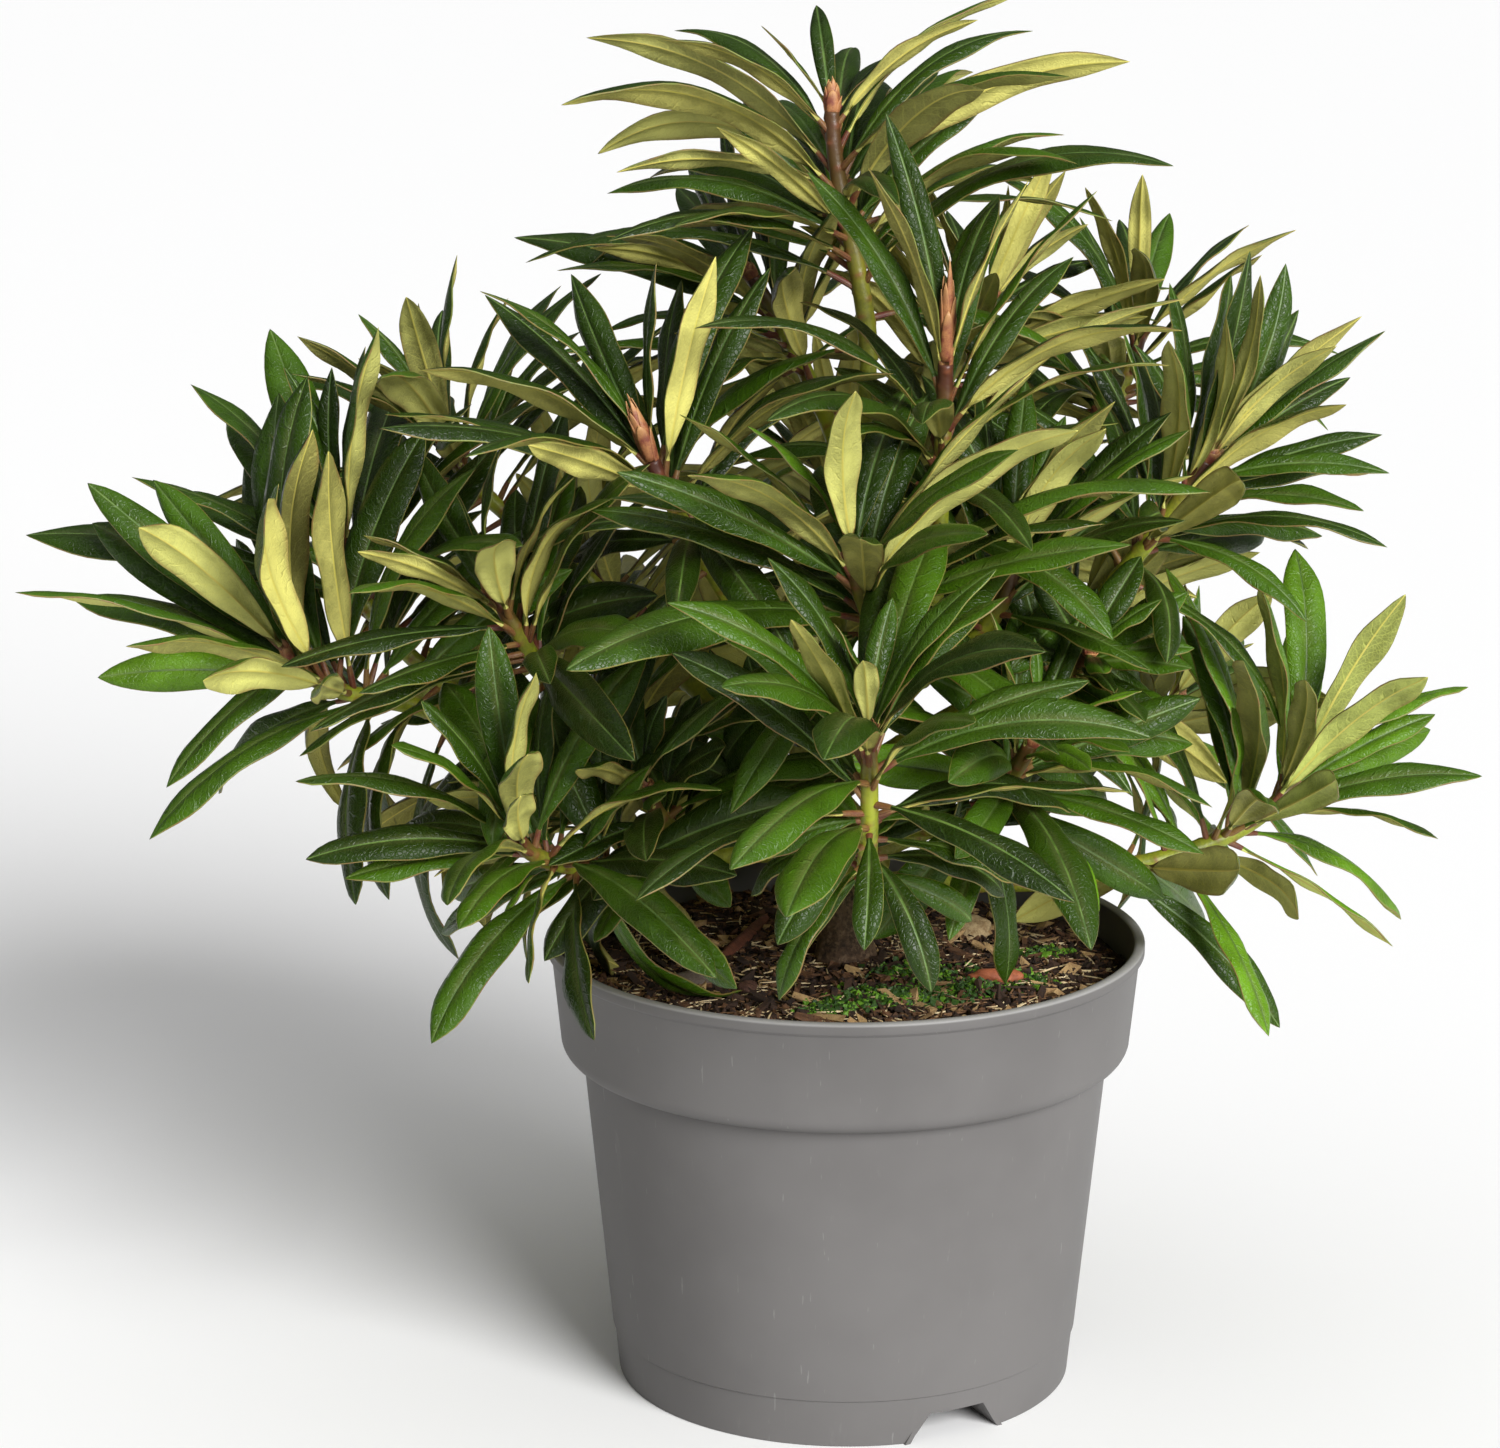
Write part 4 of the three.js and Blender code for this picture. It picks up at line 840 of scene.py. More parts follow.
def joinPieces(parts):
    points, quads, ends, values, total = [], [], [], {}, 0
    for p, q, e, v in parts:
        points.append(p)
        quads.append(q + total)
        ends.append(e + total)
        for key, value in v.items():
            values.setdefault(key, []).append(value)
        total += len(p)
    faces = [np.concatenate(quads), np.concatenate(ends)]
    return np.concatenate(points), faces, {key: np.concatenate(value) for key, value in values.items()}


def perPoint(grid, sides):  # one value a ring, or one a point, then the two end points
    grid = np.asarray(grid, float).reshape(len(grid), -1)
    grid = np.broadcast_to(grid, (len(grid), sides))
    return np.concatenate([grid.ravel(), [grid[0].mean(), grid[-1].mean()]])


def woodValues(sides, age, blush, scar):
    return {"age": perPoint(age, sides), "blush": perPoint(blush, sides), "scar": perPoint(scar, sides)}


barkLook = {
    "trunk": 0.55, "bough": 0.3, "boughScar": 0.55, "stemScar": 0.42, "boughScars": 12, "slim": 0.94,
    "stemFoot": 3.9, "stemTip": 3.0, "scarPitch": 3.1, "scarFirst": 2,
}


def makeTrunk():
    rings, sides = 110, 48
    shares = np.linspace(0, 1, rings)
    length = curveLengths(lines["trunk"])[-1]
    radii = mix(trunk["thick"], trunk["neck"], shares) + trunk["flare"] * np.exp(-6 * shares)
    relief = barkRelief(shares, sides, length, 3, barkLook["trunk"]) * ease(0, 0.02, shares)[:, None]
    points, quads, ends = sweep(lines["trunk"], shares, radii, sides, relief)
    values = woodValues(sides, 1 - 0.15 * shares, 0 * shares, 0 * shares)
    piece = makePiece("trunkBark", points, [quads, ends], [barkMaterial], None, None, values)
    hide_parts("trunk")


def makeBoughs():
    sides, parts = 24, []
    for number, (name, (*aim, thick, thin)) in enumerate(boughs.items()):
        length = curveLengths(lines[name])[-1]
        rings = int(length / 1.3)
        shares = np.linspace(0, 1, rings)
        radii = mix(thick, thin, shares) * barkLook["slim"]
        count = barkLook["boughScars"]
        at = [0.16 + 0.8 * k / count + 0.02 * chance(number * 40 + k, 61) for k in range(count)]
        spots = [(length * at[k], np.radians(goldenTurn * k)) for k in range(count)]
        lump, scar = scarRelief(shares, sides, length, spots, barkLook["boughScar"])
        old = ease(0.5, 0.0, shares)
        relief = barkRelief(shares, sides, length, number + 11, barkLook["bough"]) * old[:, None] + lump
        points, quads, ends = sweep(lines[name], shares, radii, sides, relief)
        parts.append((points, quads, ends, woodValues(sides, 0.9 * old + 0.1, 0 * shares, scar)))
    points, faces, values = joinPieces(parts)
    piece = makePiece("boughBark", points, faces, [barkMaterial], None, None, values)
    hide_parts(*boughs)


# How far below the tip a stem still blushes, in mm: far on the two strongest shoots.
blushReach = {"leaves_top": 120, "leaves_front_right_high": 50}
usualBlush = 30


def makeStems():
    sides, parts = 18, []
    for name, shoot in shoots.items():
        line = lines[name]
        length = curveLengths(line)[-1]
        rings = max(int(length / 1.1), 30)
        shares = np.linspace(0, 1, rings)
        drop = (1 - shares) * length
        radii = mix(barkLook["stemFoot"], barkLook["stemTip"], shares) * barkLook["slim"]
        first, pitch = length - barkLook["scarFirst"], barkLook["scarPitch"]
        spots = [(first - pitch * k, np.radians(goldenTurn * k)) for k in range(int(length / pitch))]
        lump, scar = scarRelief(shares, sides, length, spots, barkLook["stemScar"], 0.9)
        points, quads, ends = sweep(line, shares, radii, sides, lump)
        blush = ease(blushReach.get(name, usualBlush), 4, drop) * (1 - 0.3 * shoot[freshAt])
        parts.append((points, quads, ends, woodValues(sides, 0.12 * ease(0.3, 0, shares), blush, scar)))
    points, faces, values = joinPieces(parts)
    makePiece("shootStems", points, faces, [shootMaterial], None, None, values)


makeTrunk()
makeBoughs()
makeStems()
print("wood made")

# Buds: pointed scales that overlap round the stem's tip. A scale is a strip bent round the bud, u along it
# and v across: its radius follows the bud's spindle and its edges close in towards a point.
budLook = {"radius": 3.1, "scales": 12, "rows": 9, "columns": 7, "thick": 0.35, "sunk": 1.5, "stand": 0.7}
budMaterial = plainMaterial("budScales", rgb(120, 56, 44), rgb(176, 120, 74), 0.5, 260.0, 2400.0, 0.35,
                            "tipShare", rgb(186, 138, 88))


def budScales(line, length, seed):
    way = curveTangent(line, np.array([1.0]))[0]
    side = unit(np.array([1.0, 0, 0]) - way * way[0])
    over = np.cross(way, side)
    tip = curvePoint(line, np.array([1.0]))[0] - way * budLook["sunk"]
    i = np.arange(budLook["scales"])[:, None, None]
    u = np.linspace(0, 1, budLook["rows"])[None, :, None]
    v = np.linspace(-1, 1, budLook["columns"])[None, None, :]
    rank = i / (budLook["scales"] - 1)
    start = length * 0.42 * rank
    long = length * (0.52 + 0.12 * rank) * (1 + 0.12 * chance(seed + i, 71))
    height = start + long * u + 0 * v
    spindle = np.sin(np.pi * np.clip(0.22 + 0.78 * height / (length * 1.1), 0, 1)) ** 0.8
    radius = budLook["radius"] * (0.1 + 0.9 * spindle) * (1.08 - 0.2 * rank)
    radius = radius + budLook["stand"] * (1 - rank) * u**3 * (1 + chance(seed + i, 72))
    spread = (1.15 - 0.35 * rank) * (1 - u**2.2) ** 0.7 + 0.02
    turn = np.radians(goldenTurn * i) + v * spread
    where = np.stack([radius * np.cos(turn), radius * np.sin(turn), height], -1)
    within = radius - budLook["thick"]
    inner = np.stack([within * np.cos(turn), within * np.sin(turn), height - 0.05], -1)
    basis = np.stack([side, over, way])
    return np.stack([where, inner], 1) @ basis + tip, np.broadcast_to(ease(0.55, 1.0, u), radius.shape)


# A strip's outer and inner grid joined along its edge into one closed sheet.
def sheetFaces(rows, columns):
    r, c = np.meshgrid(np.arange(rows - 1), np.arange(columns - 1), indexing="ij")
    a = (r * columns + c).ravel()
    outer = np.stack([a, a + 1, a + columns + 1, a + columns], -1)
    inner = outer[:, ::-1] + rows * columns
    last = (rows - 1) * columns
    rim = np.concatenate([np.arange(columns), np.arange(1, rows) * columns + columns - 1,
                          last + np.arange(columns - 2, -1, -1), np.arange(rows - 2, 0, -1) * columns])
    nextRim = np.roll(rim, -1)
    edge = np.stack([nextRim, rim, rim + rows * columns, nextRim + rows * columns], -1)
    return np.concatenate([outer, inner, edge])


def makeBuds():
    rows, columns = budLook["rows"], budLook["columns"]
    faces = sheetFaces(rows, columns)
    points, quads, tips, total = [], [], [], 0
    for number, (name, shoot) in enumerate(shoots.items()):
        scales, tipShare = budScales(lines[name], shoot[budAt], number * 100)
        count, each = scales.shape[0], 2 * rows * columns
        points.append(scales.reshape(-1, 3))
        quads.append(repeatFaces(faces, count, each).reshape(-1, 4) + total)
        tips.append(np.stack([tipShare, tipShare], 1).ravel())
        total += count * each
    makePiece("buds", np.concatenate(points), [np.concatenate(quads)], [budMaterial], None, None,
              {"tipShare": np.concatenate(tips)})


makeBuds()
print("buds made")

# The pot: a profile turned about its axis, with two slots cut in the foot.
pot = {
    "height": 174.4, "rimRadius": 115, "rimDepth": 45, "collarFoot": 109.8, "lipHeight": 5, "lipProud": 1.8,
    "shoulder": 6.5, "footRadius": 88.8, "flare": 0.0973, "wall": 2.2, "footRing": 18.5, "footStep": 0.7,
    "underside": 11.5, "sectors": 176,
}
notch = {"bearings": (-62.3, 117.7), "widthBelow": 38, "widthAbove": 23, "ribLength": 20}


def outer(z):  # the wall's radius below the collar
    return pot["footRadius"] + pot["flare"] * z


def potProfile():
    collar = pot["height"] - pot["rimDepth"]
    rim, lip, wall, r = pot["rimRadius"], pot["height"] - pot["lipHeight"], pot["wall"], pot["shoulder"]
    rimInner, collarInner = rim - pot["lipProud"] - wall, pot["collarFoot"] - wall
    turns = np.radians(np.linspace(0, 90, 9))
    shoulder = np.stack([pot["collarFoot"] - r + r * np.sin(turns), collar + r - r * np.cos(turns)], -1)
    shoulder[0] = (outer(collar) + 0.3, collar - 0.05)
    edge = np.radians(np.linspace(0, 180, 9))
    lipMiddle, lipHalf = (rim + rimInner) / 2, (rim - rimInner) / 2
    lipTop = np.stack([lipMiddle + lipHalf * np.cos(edge), pot["height"] - 1 + 1.0 * np.sin(edge)], -1)
    floor = pot["underside"] + wall
    rows = [
        (0, pot["underside"]), (pot["footRadius"] - wall, pot["underside"]), (pot["footRadius"] - wall, 0.3),
        (pot["footRadius"] - wall + 0.3, 0), (pot["footRadius"] - pot["footStep"] - 0.4, 0),
        (pot["footRadius"] - pot["footStep"], 0.4),
        (outer(pot["footRing"]) - pot["footStep"], pot["footRing"]),
        (outer(pot["footRing"]), pot["footRing"] + 0.6), (outer(70), 70), (outer(collar), collar - 0.4),
        *shoulder, (rim - pot["lipProud"] - 0.1, lip - 0.9), (rim - pot["lipProud"] + 0.15, lip - 0.5),
        (rim - 0.3, lip + 0.5), (rim, lip + 1.0), (rim, pot["height"] - 1.6), *lipTop,
        (rimInner, pot["height"] - 2.5), (collarInner, collar + r), (collarInner - r, collar + wall),
        (outer(collar) - wall, collar + wall), (outer(floor) - wall, floor), (0, floor),
    ]
    return np.array(rows, float)


def lathe(profile, sectors):
    turn = 2 * np.pi * np.arange(sectors) / sectors
    inner = profile[1:-1]
    rings = np.stack([inner[:, :1] * np.cos(turn), inner[:, :1] * np.sin(turn), inner[:, 1:] + 0 * turn], -1)
    points = np.concatenate([rings.reshape(-1, 3), [[0, 0, profile[0, 1]], [0, 0, profile[-1, 1]]]])
    count = len(inner)
    return points, ringQuads(count, sectors), tubeEnds(count, sectors)


def channelBlock(name, margin, near, far, low, high, bearing):
    wide = notch["widthBelow"] / 2 + margin, notch["widthAbove"] / 2 + margin
    levels = list(zip((low, high), wide))
    corners = np.array([(x, y * half, z) for x in (near, far) for z, half in levels for y in (-1, 1)])
    cosine, sine = np.cos(np.radians(bearing)), np.sin(np.radians(bearing))
    turned = corners @ np.array([[cosine, sine, 0], [-sine, cosine, 0], [0, 0, 1]])
    mesh = bpy.data.meshes.new(name)
    mesh.from_pydata((turned / 1000 + potAxis).tolist(), [], blockQuads.tolist())
    block = bpy.data.objects.new(name, mesh)
    bpy.context.scene.collection.objects.link(block)
    return block


def applyModifiers(piece):
    result = bpy.data.meshes.new_from_object(piece.evaluated_get(bpy.context.evaluated_depsgraph_get()))
    piece.modifiers.clear()
    piece.data = result


def makePot(material):
    points, quads, ends = lathe(potProfile(), pot["sectors"])
    piece = makePiece("potShell", points, [quads, ends], [material])
    inner, ribEnd = pot["footRadius"] - notch["ribLength"], pot["footRadius"] - pot["wall"] / 2 - 1
    blocks = []
    for bearing in notch["bearings"]:
        ribs = channelBlock("rib", pot["wall"], inner, ribEnd, 0, pot["underside"] + 0.5, bearing)
        blocks.append((ribs, "UNION"))
    for bearing in notch["bearings"]:
        slotBlock = channelBlock("slot", 0, inner - 5, pot["rimRadius"], -0.01, pot["underside"], bearing)
        blocks.append((slotBlock, "DIFFERENCE"))
    for block, operation in blocks:
        modifier = piece.modifiers.new(operation, "BOOLEAN")
        modifier.operation, modifier.solver, modifier.object = operation, "EXACT", block
    applyModifiers(piece)
    for block, operation in blocks:
        bpy.data.objects.remove(block)
    piece.data.polygons.foreach_set("use_smooth", np.ones(len(piece.data.polygons), bool))
    piece.data.set_sharp_from_angle(angle=math.radians(35))
    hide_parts("pot")


def potMaterial():
    material, n, shader = newMaterial("potGrey")
    where = n.place()
    cloud = useGroup(n, mottle, Patch=14.0, Grain=2600.0, Grain_share=0.12)
    streak = n.add("ShaderNodeMapping", {"Vector": where, "Scale": (9.0, 9.0, 1.3)}).outputs[0]
    scuff = n.range(n.noise(streak, 9.0, 6.0, 0.7, 1.2), 0.62, 0.78)
    slanted = {"Vector": where, "Rotation": (0.5, 0.9, 0.3), "Scale": (40.0, 40.0, 2.4)}
    scratch = n.range(n.noise(n.add("ShaderNodeMapping", slanted).outputs[0], 16.0, 2.0, 0.5), 0.72, 0.75)
    colour = n.blend(n.range(cloud["Value"], 0.3, 0.7), rgb(98, 96, 95), rgb(105, 103, 102))
    colour = n.blend(n.math("MULTIPLY", scuff, 0.3), colour, rgb(150, 148, 146))
    colour = n.blend(n.math("MULTIPLY", scratch, 0.25), colour, rgb(160, 158, 156))
    height = n.add("ShaderNodeSeparateXYZ", {0: where}).outputs[2]
    # Painted highlight: a thin band just under the rim's top is blended towards a lighter grey, standing in
    # for light caught on the lip's edge.
    paintedLipHighlight = n.range(height, 0.1729, 0.1738)  # metres over the floor, just under the rim's top
    colour = n.blend(n.math("MULTIPLY", paintedLipHighlight, 0.7), colour, rgb(158, 157, 156))
    rough = n.math("ADD", n.range(cloud["Value"], 0.3, 0.7, 0.40, 0.48), n.math("MULTIPLY", scuff, 0.12))
    relief = n.math("SUBTRACT", n.math("MULTIPLY", cloud["Height"], 0.15), n.math("MULTIPLY", scratch, 0.2))
    bump = n.bump(0.25, 0.0002, relief)
    wire(n, shader, Base_Color=colour, Roughness=rough, Normal=bump, Specular_IOR_Level=0.12)
    return material


makePot(potMaterial())
print("pot made")

# The root ball: one closed body inside the pot whose top is a bumpy height field.
ball = {
    "edge": 160.4, "mound": 3, "floor": 14.0, "sectors": 220, "rings": 90, "bump": 1.6, "moundReach": 104,
    "waves": 14, "longestWave": 0.05, "finer": 1.32, "fading": 0.42, "radius": 109.6, "gap": 0.8,
}


def soilHeight(x, y):
    # sum of crossed waves over the mound: z = edge + mound * (1 - (r / 104)^2) + bumps
    r = np.hypot(x, y)
    bumps = 0
    for k in range(ball["waves"]):
        scale = ball["longestWave"] * ball["finer"]**k
        angle = np.pi * chance(k, 81)
        wave = np.sin(scale * (x * np.cos(angle) + y * np.sin(angle)) + 6 * chance(k, 82))
        bumps = bumps + wave / (1 + ball["fading"] * k)
    mound = ball["mound"] * (1 - np.clip(r / ball["moundReach"], 0, 1) ** 2)
    return ball["edge"] + mound + ball["bump"] * 0.45 * bumps


def makeSoil(material):
    collar, wall = pot["height"] - pot["rimDepth"], pot["wall"]
    floor, gap, sectors = ball["floor"], ball["gap"], ball["sectors"]
    turn = 2 * np.pi * np.arange(sectors) / sectors
    sides = [(outer(floor) - wall - gap, floor), (outer(collar) - wall - gap, collar + wall + 0.4),
             (pot["collarFoot"] - wall - pot["shoulder"] - gap, collar + wall + 0.5),
             (pot["collarFoot"] - wall - gap - 0.1, collar + pot["shoulder"] + 0.4)]
    low = np.stack([np.stack([r * np.cos(turn), r * np.sin(turn), z + 0 * turn], -1) for r, z in sides])
    reach = ball["radius"] * np.sqrt(np.linspace(1, 0.0004, ball["rings"]))
    x, y = reach[:, None] * np.cos(turn), reach[:, None] * np.sin(turn)
    top = np.stack([x, y, soilHeight(x, y)], -1)
    rings = np.concatenate([low, top])
    count = len(rings)
    points = np.concatenate([rings.reshape(-1, 3), [[0, 0, floor], [0, 0, soilHeight(0.0, 0.0)]]])
    faces = [ringQuads(count, sectors), tubeEnds(count, sectors)]
    piece = makePiece("peat", points, faces, [material])
    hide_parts("root_ball")


# One 3 x 3 matrix for each angle, which turns about x, y or z (0, 1 or 2).
def turnMatrices(angles, axis):
    first, second = (axis + 1) % 3, (axis + 2) % 3
    turns = np.zeros((len(angles), 3, 3))
    turns[:, axis, axis] = 1
    turns[:, first, first] = turns[:, second, second] = np.cos(angles)
    turns[:, first, second] = -np.sin(angles)
    turns[:, second, first] = np.sin(angles)
    return turns


# How far from the axis loose bits and straws lie, what all of them stay within, and how far a bit's corners
# move as a share of its size.
scatter = {"reach": 107, "strawReach": 100, "within": 109, "wobble": 0.32, "saltStep": 1000}


# Bits that lie on the peat: each is a small block with its own size, turn and tilt, its corners moved by
# chance. Arrays of shape (bits, corners). Without a patch (x, y, half its width) they lie all over the pot.
def scatterBlocks(count, sizes, salt, patch, sink, tilt):
    i = np.arange(count) + salt * scatter["saltStep"]
    if patch is None:
        reach, angle = scatter["reach"] * np.sqrt(chanceShare(i, 91)), np.pi * chance(i, 92)
        x, y = reach * np.cos(angle), reach * np.sin(angle)
    else:
        middleX, middleY, wide = patch
        x = middleX + wide * chance(i, 91) * np.abs(chance(i, 97))
        y = middleY + wide * 0.7 * chance(i, 92) * np.abs(chance(i, 98))
    size = np.stack([mix(*sizes[k], chanceShare(i, 93 + k)) for k in range(3)], -1)
    corner = np.array([(a, b, c) for a in (-0.5, 0.5) for c in (-0.5, 0.5) for b in (-0.5, 0.5)])
    wobble = np.stack([chance(i[:, None] * 8 + np.arange(8), 100 + k) for k in range(3)], -1)
    local = (corner + scatter["wobble"] * wobble) * size[:, None]
    yaw = turnMatrices(np.pi * chance(i, 96), 2)
    pitch, roll = turnMatrices(tilt * chance(i, 89), 1), turnMatrices(tilt * chance(i, 88), 0)
    turned = np.einsum("nij,nkj->nki", yaw @ pitch @ roll, local)
    z = soilHeight(x, y) + size[:, 2] * (0.5 - sink)
    return turned + np.stack([x, y, z], -1)[:, None]


def pickMaterial(count, salt, materials):
    return np.digitize(chanceShare(np.arange(count), salt), np.linspace(0, 1, len(materials) + 1)[1:-1])


def makeBits(name, blocks, materials, salt):
    blocks = blocks[np.hypot(blocks[..., 0], blocks[..., 1]).max(1) < scatter["within"]]
    count = len(blocks)
    quads = repeatFaces(blockQuads, count, 8).reshape(-1, 4)
    slots = np.repeat(pickMaterial(count, salt, materials), len(blockQuads))
    piece = makePiece(name, blocks.reshape(-1, 3), [quads], materials, slots)
    piece.data.polygons.foreach_set("use_smooth", np.zeros(len(quads), bool))


def makeStraws(name, count, salt, length, radius, materials):
    # each straw is a thin tube along a shallow arc that rests on the peat
    rings, sides = 9, 5
    i = np.arange(count) + salt * scatter["saltStep"]
    reach, angle = scatter["strawReach"] * np.sqrt(chanceShare(i, 91)), np.pi * chance(i, 92)
    long = mix(*length, chanceShare(i, 93) ** 2)
    turn, bend, lift = np.pi * chance(i, 94), 0.9 * chance(i, 95), 0.16 * chance(i, 96)
    s = np.linspace(-0.5, 0.5, rings)[None]
    heading = turn[:, None] + bend[:, None] * s
    x = reach[:, None] * np.cos(angle)[:, None] + long[:, None] * s * np.cos(heading)
    y = reach[:, None] * np.sin(angle)[:, None] + long[:, None] * s * np.sin(heading)
    ground = soilHeight(x, y)
    z = ground * 0.35 + soilHeight(x.mean(1), y.mean(1))[:, None] * 0.65 + radius + 0.5
    z = np.maximum(z + lift[:, None] * long[:, None] * s, ground - 0.4)
    centre = np.stack([x, y, z], -1)
    way = unit(np.gradient(centre, axis=1))
    side = unit(np.cross(way, [0, 0, 1.0]))
    over = np.cross(side, way)
    around = 2 * np.pi * np.arange(sides) / sides
    thin = radius * (1 + 0.4 * chance(i, 99))[:, None, None] * (1 - 0.5 * np.abs(2 * s[..., None]) ** 3)
    outward = side[:, :, None] * np.cos(around)[:, None] + over[:, :, None] * np.sin(around)[:, None]
    ring = centre[:, :, None] + thin[..., None] * outward
    inside = np.hypot(ring[..., 0], ring[..., 1]).max((1, 2)) < scatter["within"]
    ring, centre = ring[inside], centre[inside]
    count = len(ring)
    points = np.concatenate([ring.reshape(count, -1, 3), centre[:, :1], centre[:, -1:]], 1)
    quads = repeatFaces(ringQuads(rings, sides), count, points.shape[1]).reshape(-1, 4)
    ends = repeatFaces(tubeEnds(rings, sides), count, points.shape[1]).reshape(-1, 3)
    pick = pickMaterial(count, 87, materials)
    slots = np.concatenate([np.repeat(pick, (rings - 1) * sides), np.repeat(pick, 2 * sides)])
    makePiece(name, points.reshape(-1, 3), [quads, ends], materials, slots)


def makeLumps(name, rows, materials):
    # a lump is a ball squashed to its size, its radius moved by crossed waves: r = 1 + 0.14 * (waves)
    rings, sides = 15, 20
    lat = np.pi * np.arange(1, rings) / rings
    lon = 2 * np.pi * np.arange(sides) / sides
    flat = np.sin(lat)[:, None]
    sphere = np.stack([flat * np.cos(lon), flat * np.sin(lon), np.cos(lat)[:, None] + 0 * lon], -1)
    sphere = np.concatenate([sphere.reshape(-1, 3), [[0, 0, 1], [0, 0, -1.0]]])
    i = np.arange(len(rows))[:, None]
    wave = 0
    for k in range(4):
        way = direction(180 * chance(i + k, 62), 90 * chance(i + k, 63))[:, 0]
        wave = wave + np.sin(sphere @ way.T * (3 + 2 * k) + i.T) / (1 + 0.4 * k)
    x, y, *size, turn = (np.array(column, float)[:, None] for column in zip(*rows))
    lumps = sphere[None] * (1 + 0.14 * wave.T[..., None]) * np.stack(size, -1) / 2
    turn = np.radians(turn)
    points = np.stack([
        x + lumps[..., 0] * np.cos(turn) - lumps[..., 1] * np.sin(turn),
        y + lumps[..., 0] * np.sin(turn) + lumps[..., 1] * np.cos(turn),
        soilHeight(x, y) + 0.3 * size[2] + lumps[..., 2]], -1)
    each, count = points.shape[1], len(rows)
    quads = repeatFaces(ringQuads(rings - 1, sides)[:, ::-1], count, each).reshape(-1, 4)
    ends = np.concatenate([fan(each - 2, 0, sides), fan(each - 1, (rings - 2) * sides, sides, False)])
    ends = repeatFaces(ends, count, each).reshape(-1, 3)
    own = np.arange(count)
    slots = np.concatenate([np.repeat(own, (rings - 2) * sides), np.repeat(own, 2 * sides)])
    makePiece(name, points.reshape(-1, 3), [quads, ends], materials, slots)


# The finish of each kind of bit: two colours, roughness, scale of its patches and of its grain, relief.
bitFinishes = {
    "peatBrown": (rgb(17, 10, 5), rgb(40, 26, 14), 0.92, 90.0, 900.0, 1.0),
    "chipDark": (rgb(34, 21, 13), rgb(60, 39, 25), 0.85, 200.0, 1500.0, 0.8),
    "chipBrown": (rgb(72, 47, 29), rgb(100, 68, 42), 0.85, 200.0, 1500.0, 0.8),
    "chipTan": (rgb(146, 114, 76), rgb(188, 156, 108), 0.85, 200.0, 1500.0, 0.8),
    "strawPale": (rgb(234, 214, 172), rgb(200, 172, 126), 0.75, 200.0, 1500.0, 0.5),
    "strawBrown": (rgb(134, 100, 66), rgb(104, 72, 46), 0.8, 200.0, 1500.0, 0.5),
    "mossBright": (rgb(78, 124, 22), rgb(106, 152, 34), 0.55, 300.0, 2500.0, 0.5),
    "mossDeep": (rgb(32, 60, 12), rgb(52, 88, 18), 0.6, 300.0, 2500.0, 0.5),
    "barkStrip": (rgb(122, 70, 48), rgb(92, 50, 34), 0.8, 200.0, 1500.0, 0.6),
    "dryLeaf": (rgb(172, 98, 62), rgb(136, 72, 46), 0.7, 200.0, 1500.0, 0.4),
    "paleLump": (rgb(196, 172, 130), rgb(142, 116, 80), 0.85, 260.0, 1500.0, 1.0),
    "stoneChip": (rgb(112, 100, 88), rgb(84, 72, 64), 0.8, 200.0, 1500.0, 0.8),
    "barkCrumb": (rgb(96, 64, 50), rgb(72, 46, 36), 0.85, 200.0, 1500.0, 0.8),
}
bitMaterials = {name: plainMaterial(name, *finish) for name, finish in bitFinishes.items()}


def finishes(*names):
    return [bitMaterials[name] for name in names]


makeSoil(bitMaterials["peatBrown"])
crumbs = scatterBlocks(6000, ((0.8, 3.0), (0.7, 2.2), (0.6, 2.0)), 1, None, 0.1, 1.2)
chips = scatterBlocks(520, ((3.5, 13), (1.2, 4.2), (0.6, 2.0)), 2, None, -0.15, 0.6)
makeBits("peatCrumbs", crumbs, finishes("chipDark", "chipDark", "chipBrown"), 86)
makeBits("barkChips", chips, finishes("chipDark", "chipDark", "chipBrown", "chipTan"), 85)
makeStraws("strawFibres", 1900, 3, (5, 30), 0.34, finishes("strawPale", "strawBrown", "chipDark"))
mossPatches = [(8, -48, 20), (28, -46, 22), (46, -36, 20), (64, -26, 18), (78, 14, 12), (-8, -58, 12),
               (30, -20, 26)]
mossTuft = ((0.9, 2.8), (0.7, 2.2), (0.6, 1.8))
moss = [scatterBlocks(330, mossTuft, 5 + k, patch, -0.2, 1.2) for k, patch in enumerate(mossPatches)]
makeBits("moss", np.concatenate(moss), finishes("mossBright", "mossDeep", "mossDeep"), 84)
# x, y, length, width, height and turn of the larger bits, and what each is
lumpRows = [(-40, 24, 72, 5, 4, 72), (57, -27, 20, 10, 7, -12), (52, 40, 13, 12, 10, 20),
            (-58, -27, 14, 10, 7, 10), (-38, -34, 9, 8, 6, 50), (-16, 10, 12, 8, 6, -30)]
lumpKinds = ["barkStrip", "dryLeaf", "paleLump", "stoneChip", "barkCrumb", "barkCrumb"]
makeLumps("looseBits", lumpRows, finishes(*lumpKinds))
print("root ball made")

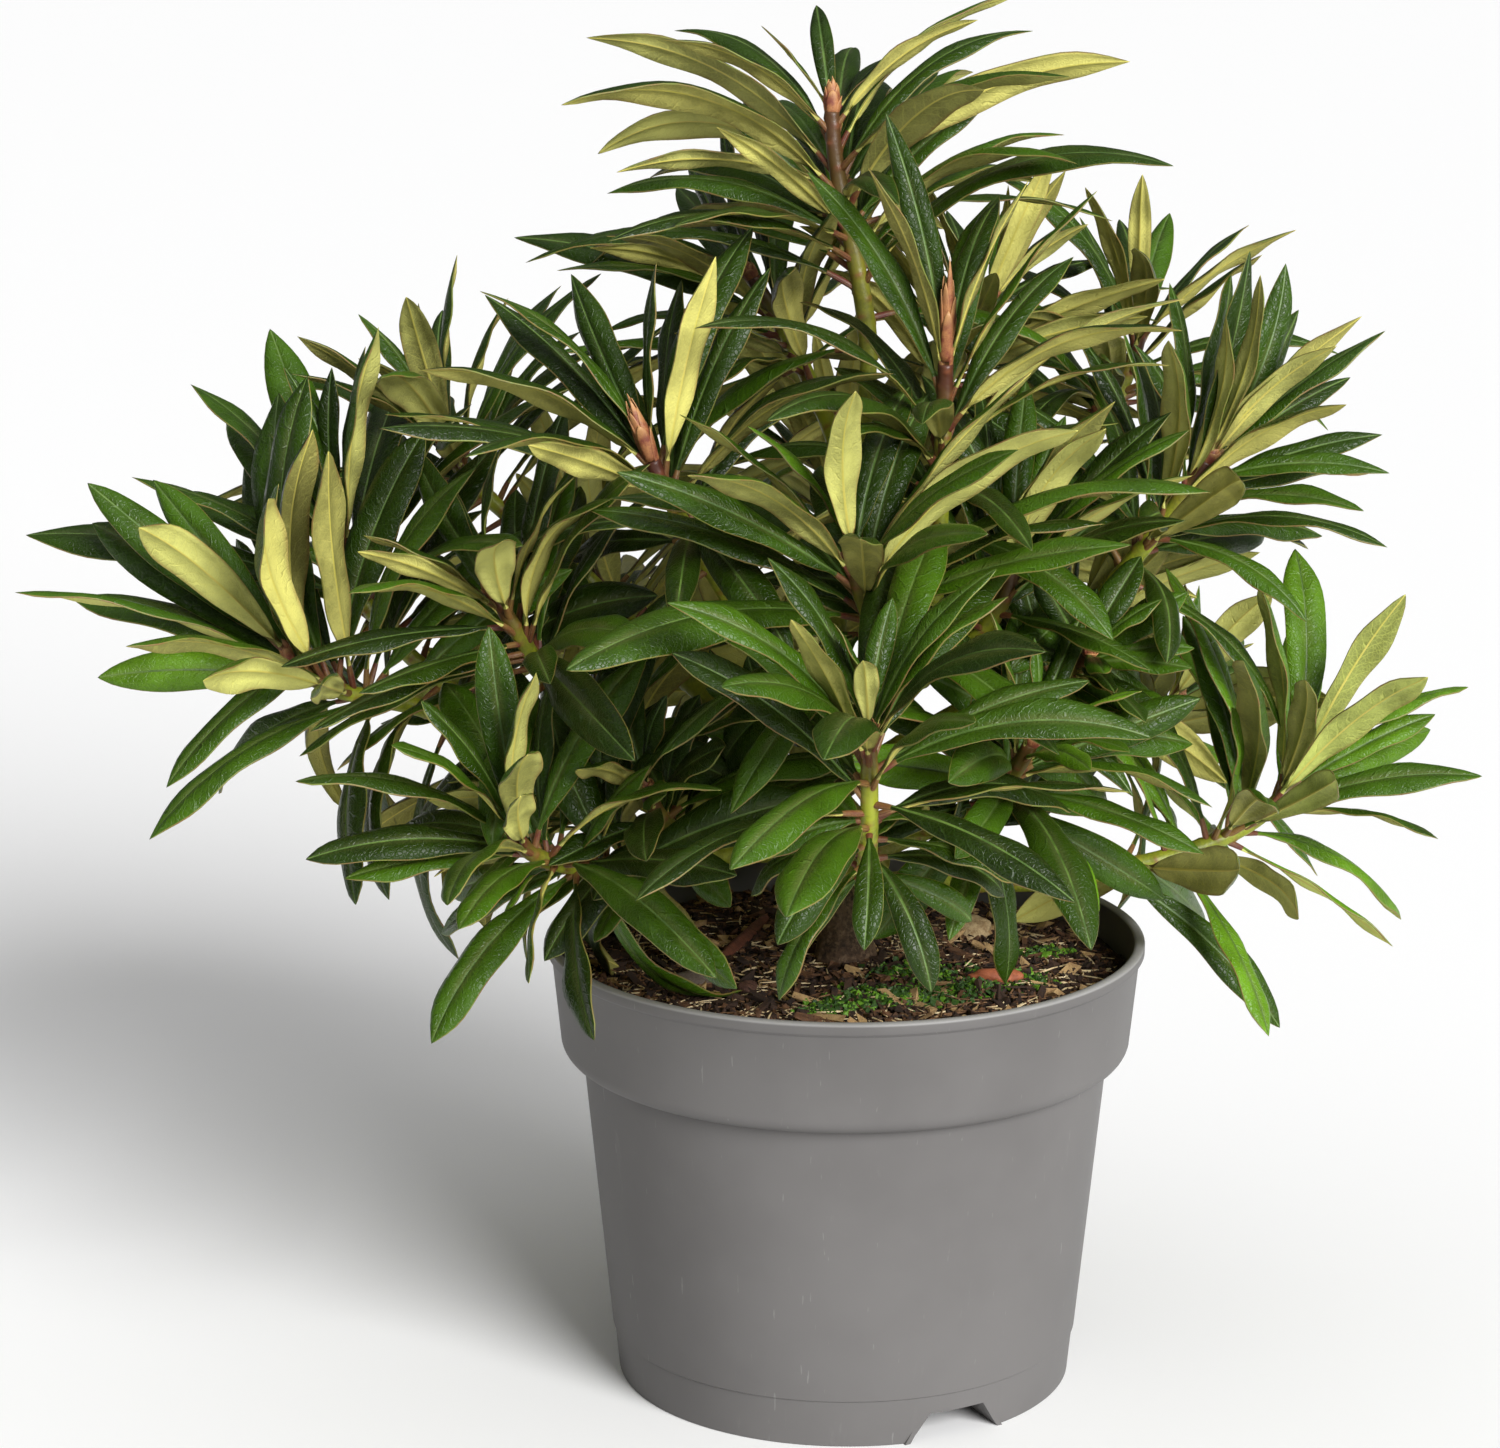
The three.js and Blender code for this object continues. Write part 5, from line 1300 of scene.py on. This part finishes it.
mainPoses = {mass: growMain(mass) for mass in shoots}
finerPoses = growFiner(mainPoses)
for name, masses in leafGroups.items():
    makeLeaves(name, masses)

# The floor, the lights and the camera.
studio = {
    "reach": 40.0, "floor": 0.92, "world": 0.12,
    "keyPower": 4.9, "keySoft": 32, "keyBearing": -57, "keyRise": 26,
    "topPower": 0.95, "topSoft": 80, "topBearing": -90, "topRise": 78,
}


def makeFloor():
    mesh = bpy.data.meshes.new("floor")
    reach = studio["reach"]
    corners = [(-reach, -reach, 0), (reach, -reach, 0), (reach, reach, 0), (-reach, reach, 0)]
    mesh.from_pydata(corners, [], [(0, 1, 2, 3)])
    floor = bpy.data.objects.new("floor", mesh)
    bpy.context.scene.collection.objects.link(floor)
    material, n, shader = newMaterial("floorPale")
    wire(n, shader, Base_Color=(studio["floor"],) * 3 + (1.0,), Roughness=0.9, Specular_IOR_Level=0.2)
    mesh.materials.append(material)


def makeLight(name):
    light = bpy.data.lights.new(name + "Light", "SUN")
    light.energy, light.angle = studio[name + "Power"], math.radians(studio[name + "Soft"])
    lamp = bpy.data.objects.new(name + "Light", light)
    bpy.context.scene.collection.objects.link(lamp)
    tilt, turn = 90 - studio[name + "Rise"], studio[name + "Bearing"] + 90
    lamp.rotation_euler = (math.radians(tilt), 0, math.radians(turn))


makeFloor()
world = bpy.data.worlds.new("studio")
world.use_nodes = True
world.node_tree.nodes["Background"].inputs[0].default_value = (1, 1, 1, 1)
world.node_tree.nodes["Background"].inputs[1].default_value = studio["world"]
bpy.context.scene.world = world
makeLight("key")
makeLight("top")

view = {"right": -0.0367, "back": 1.5618, "up": 0.6395, "down": 13.69, "lens": 101.84}
camera = bpy.data.cameras.new("camera")
camera.lens, camera.sensor_width = view["lens"], 36
cameraObject = bpy.data.objects.new("camera", camera)
bpy.context.scene.collection.objects.link(cameraObject)
cameraObject.location = (potAxis[0] + view["right"], -view["back"], view["up"])
cameraObject.rotation_euler = (math.radians(90 - view["down"]), 0, 0)
bpy.context.scene.camera = cameraObject
bpy.context.scene.view_settings.view_transform = "Standard"
print("studio made")
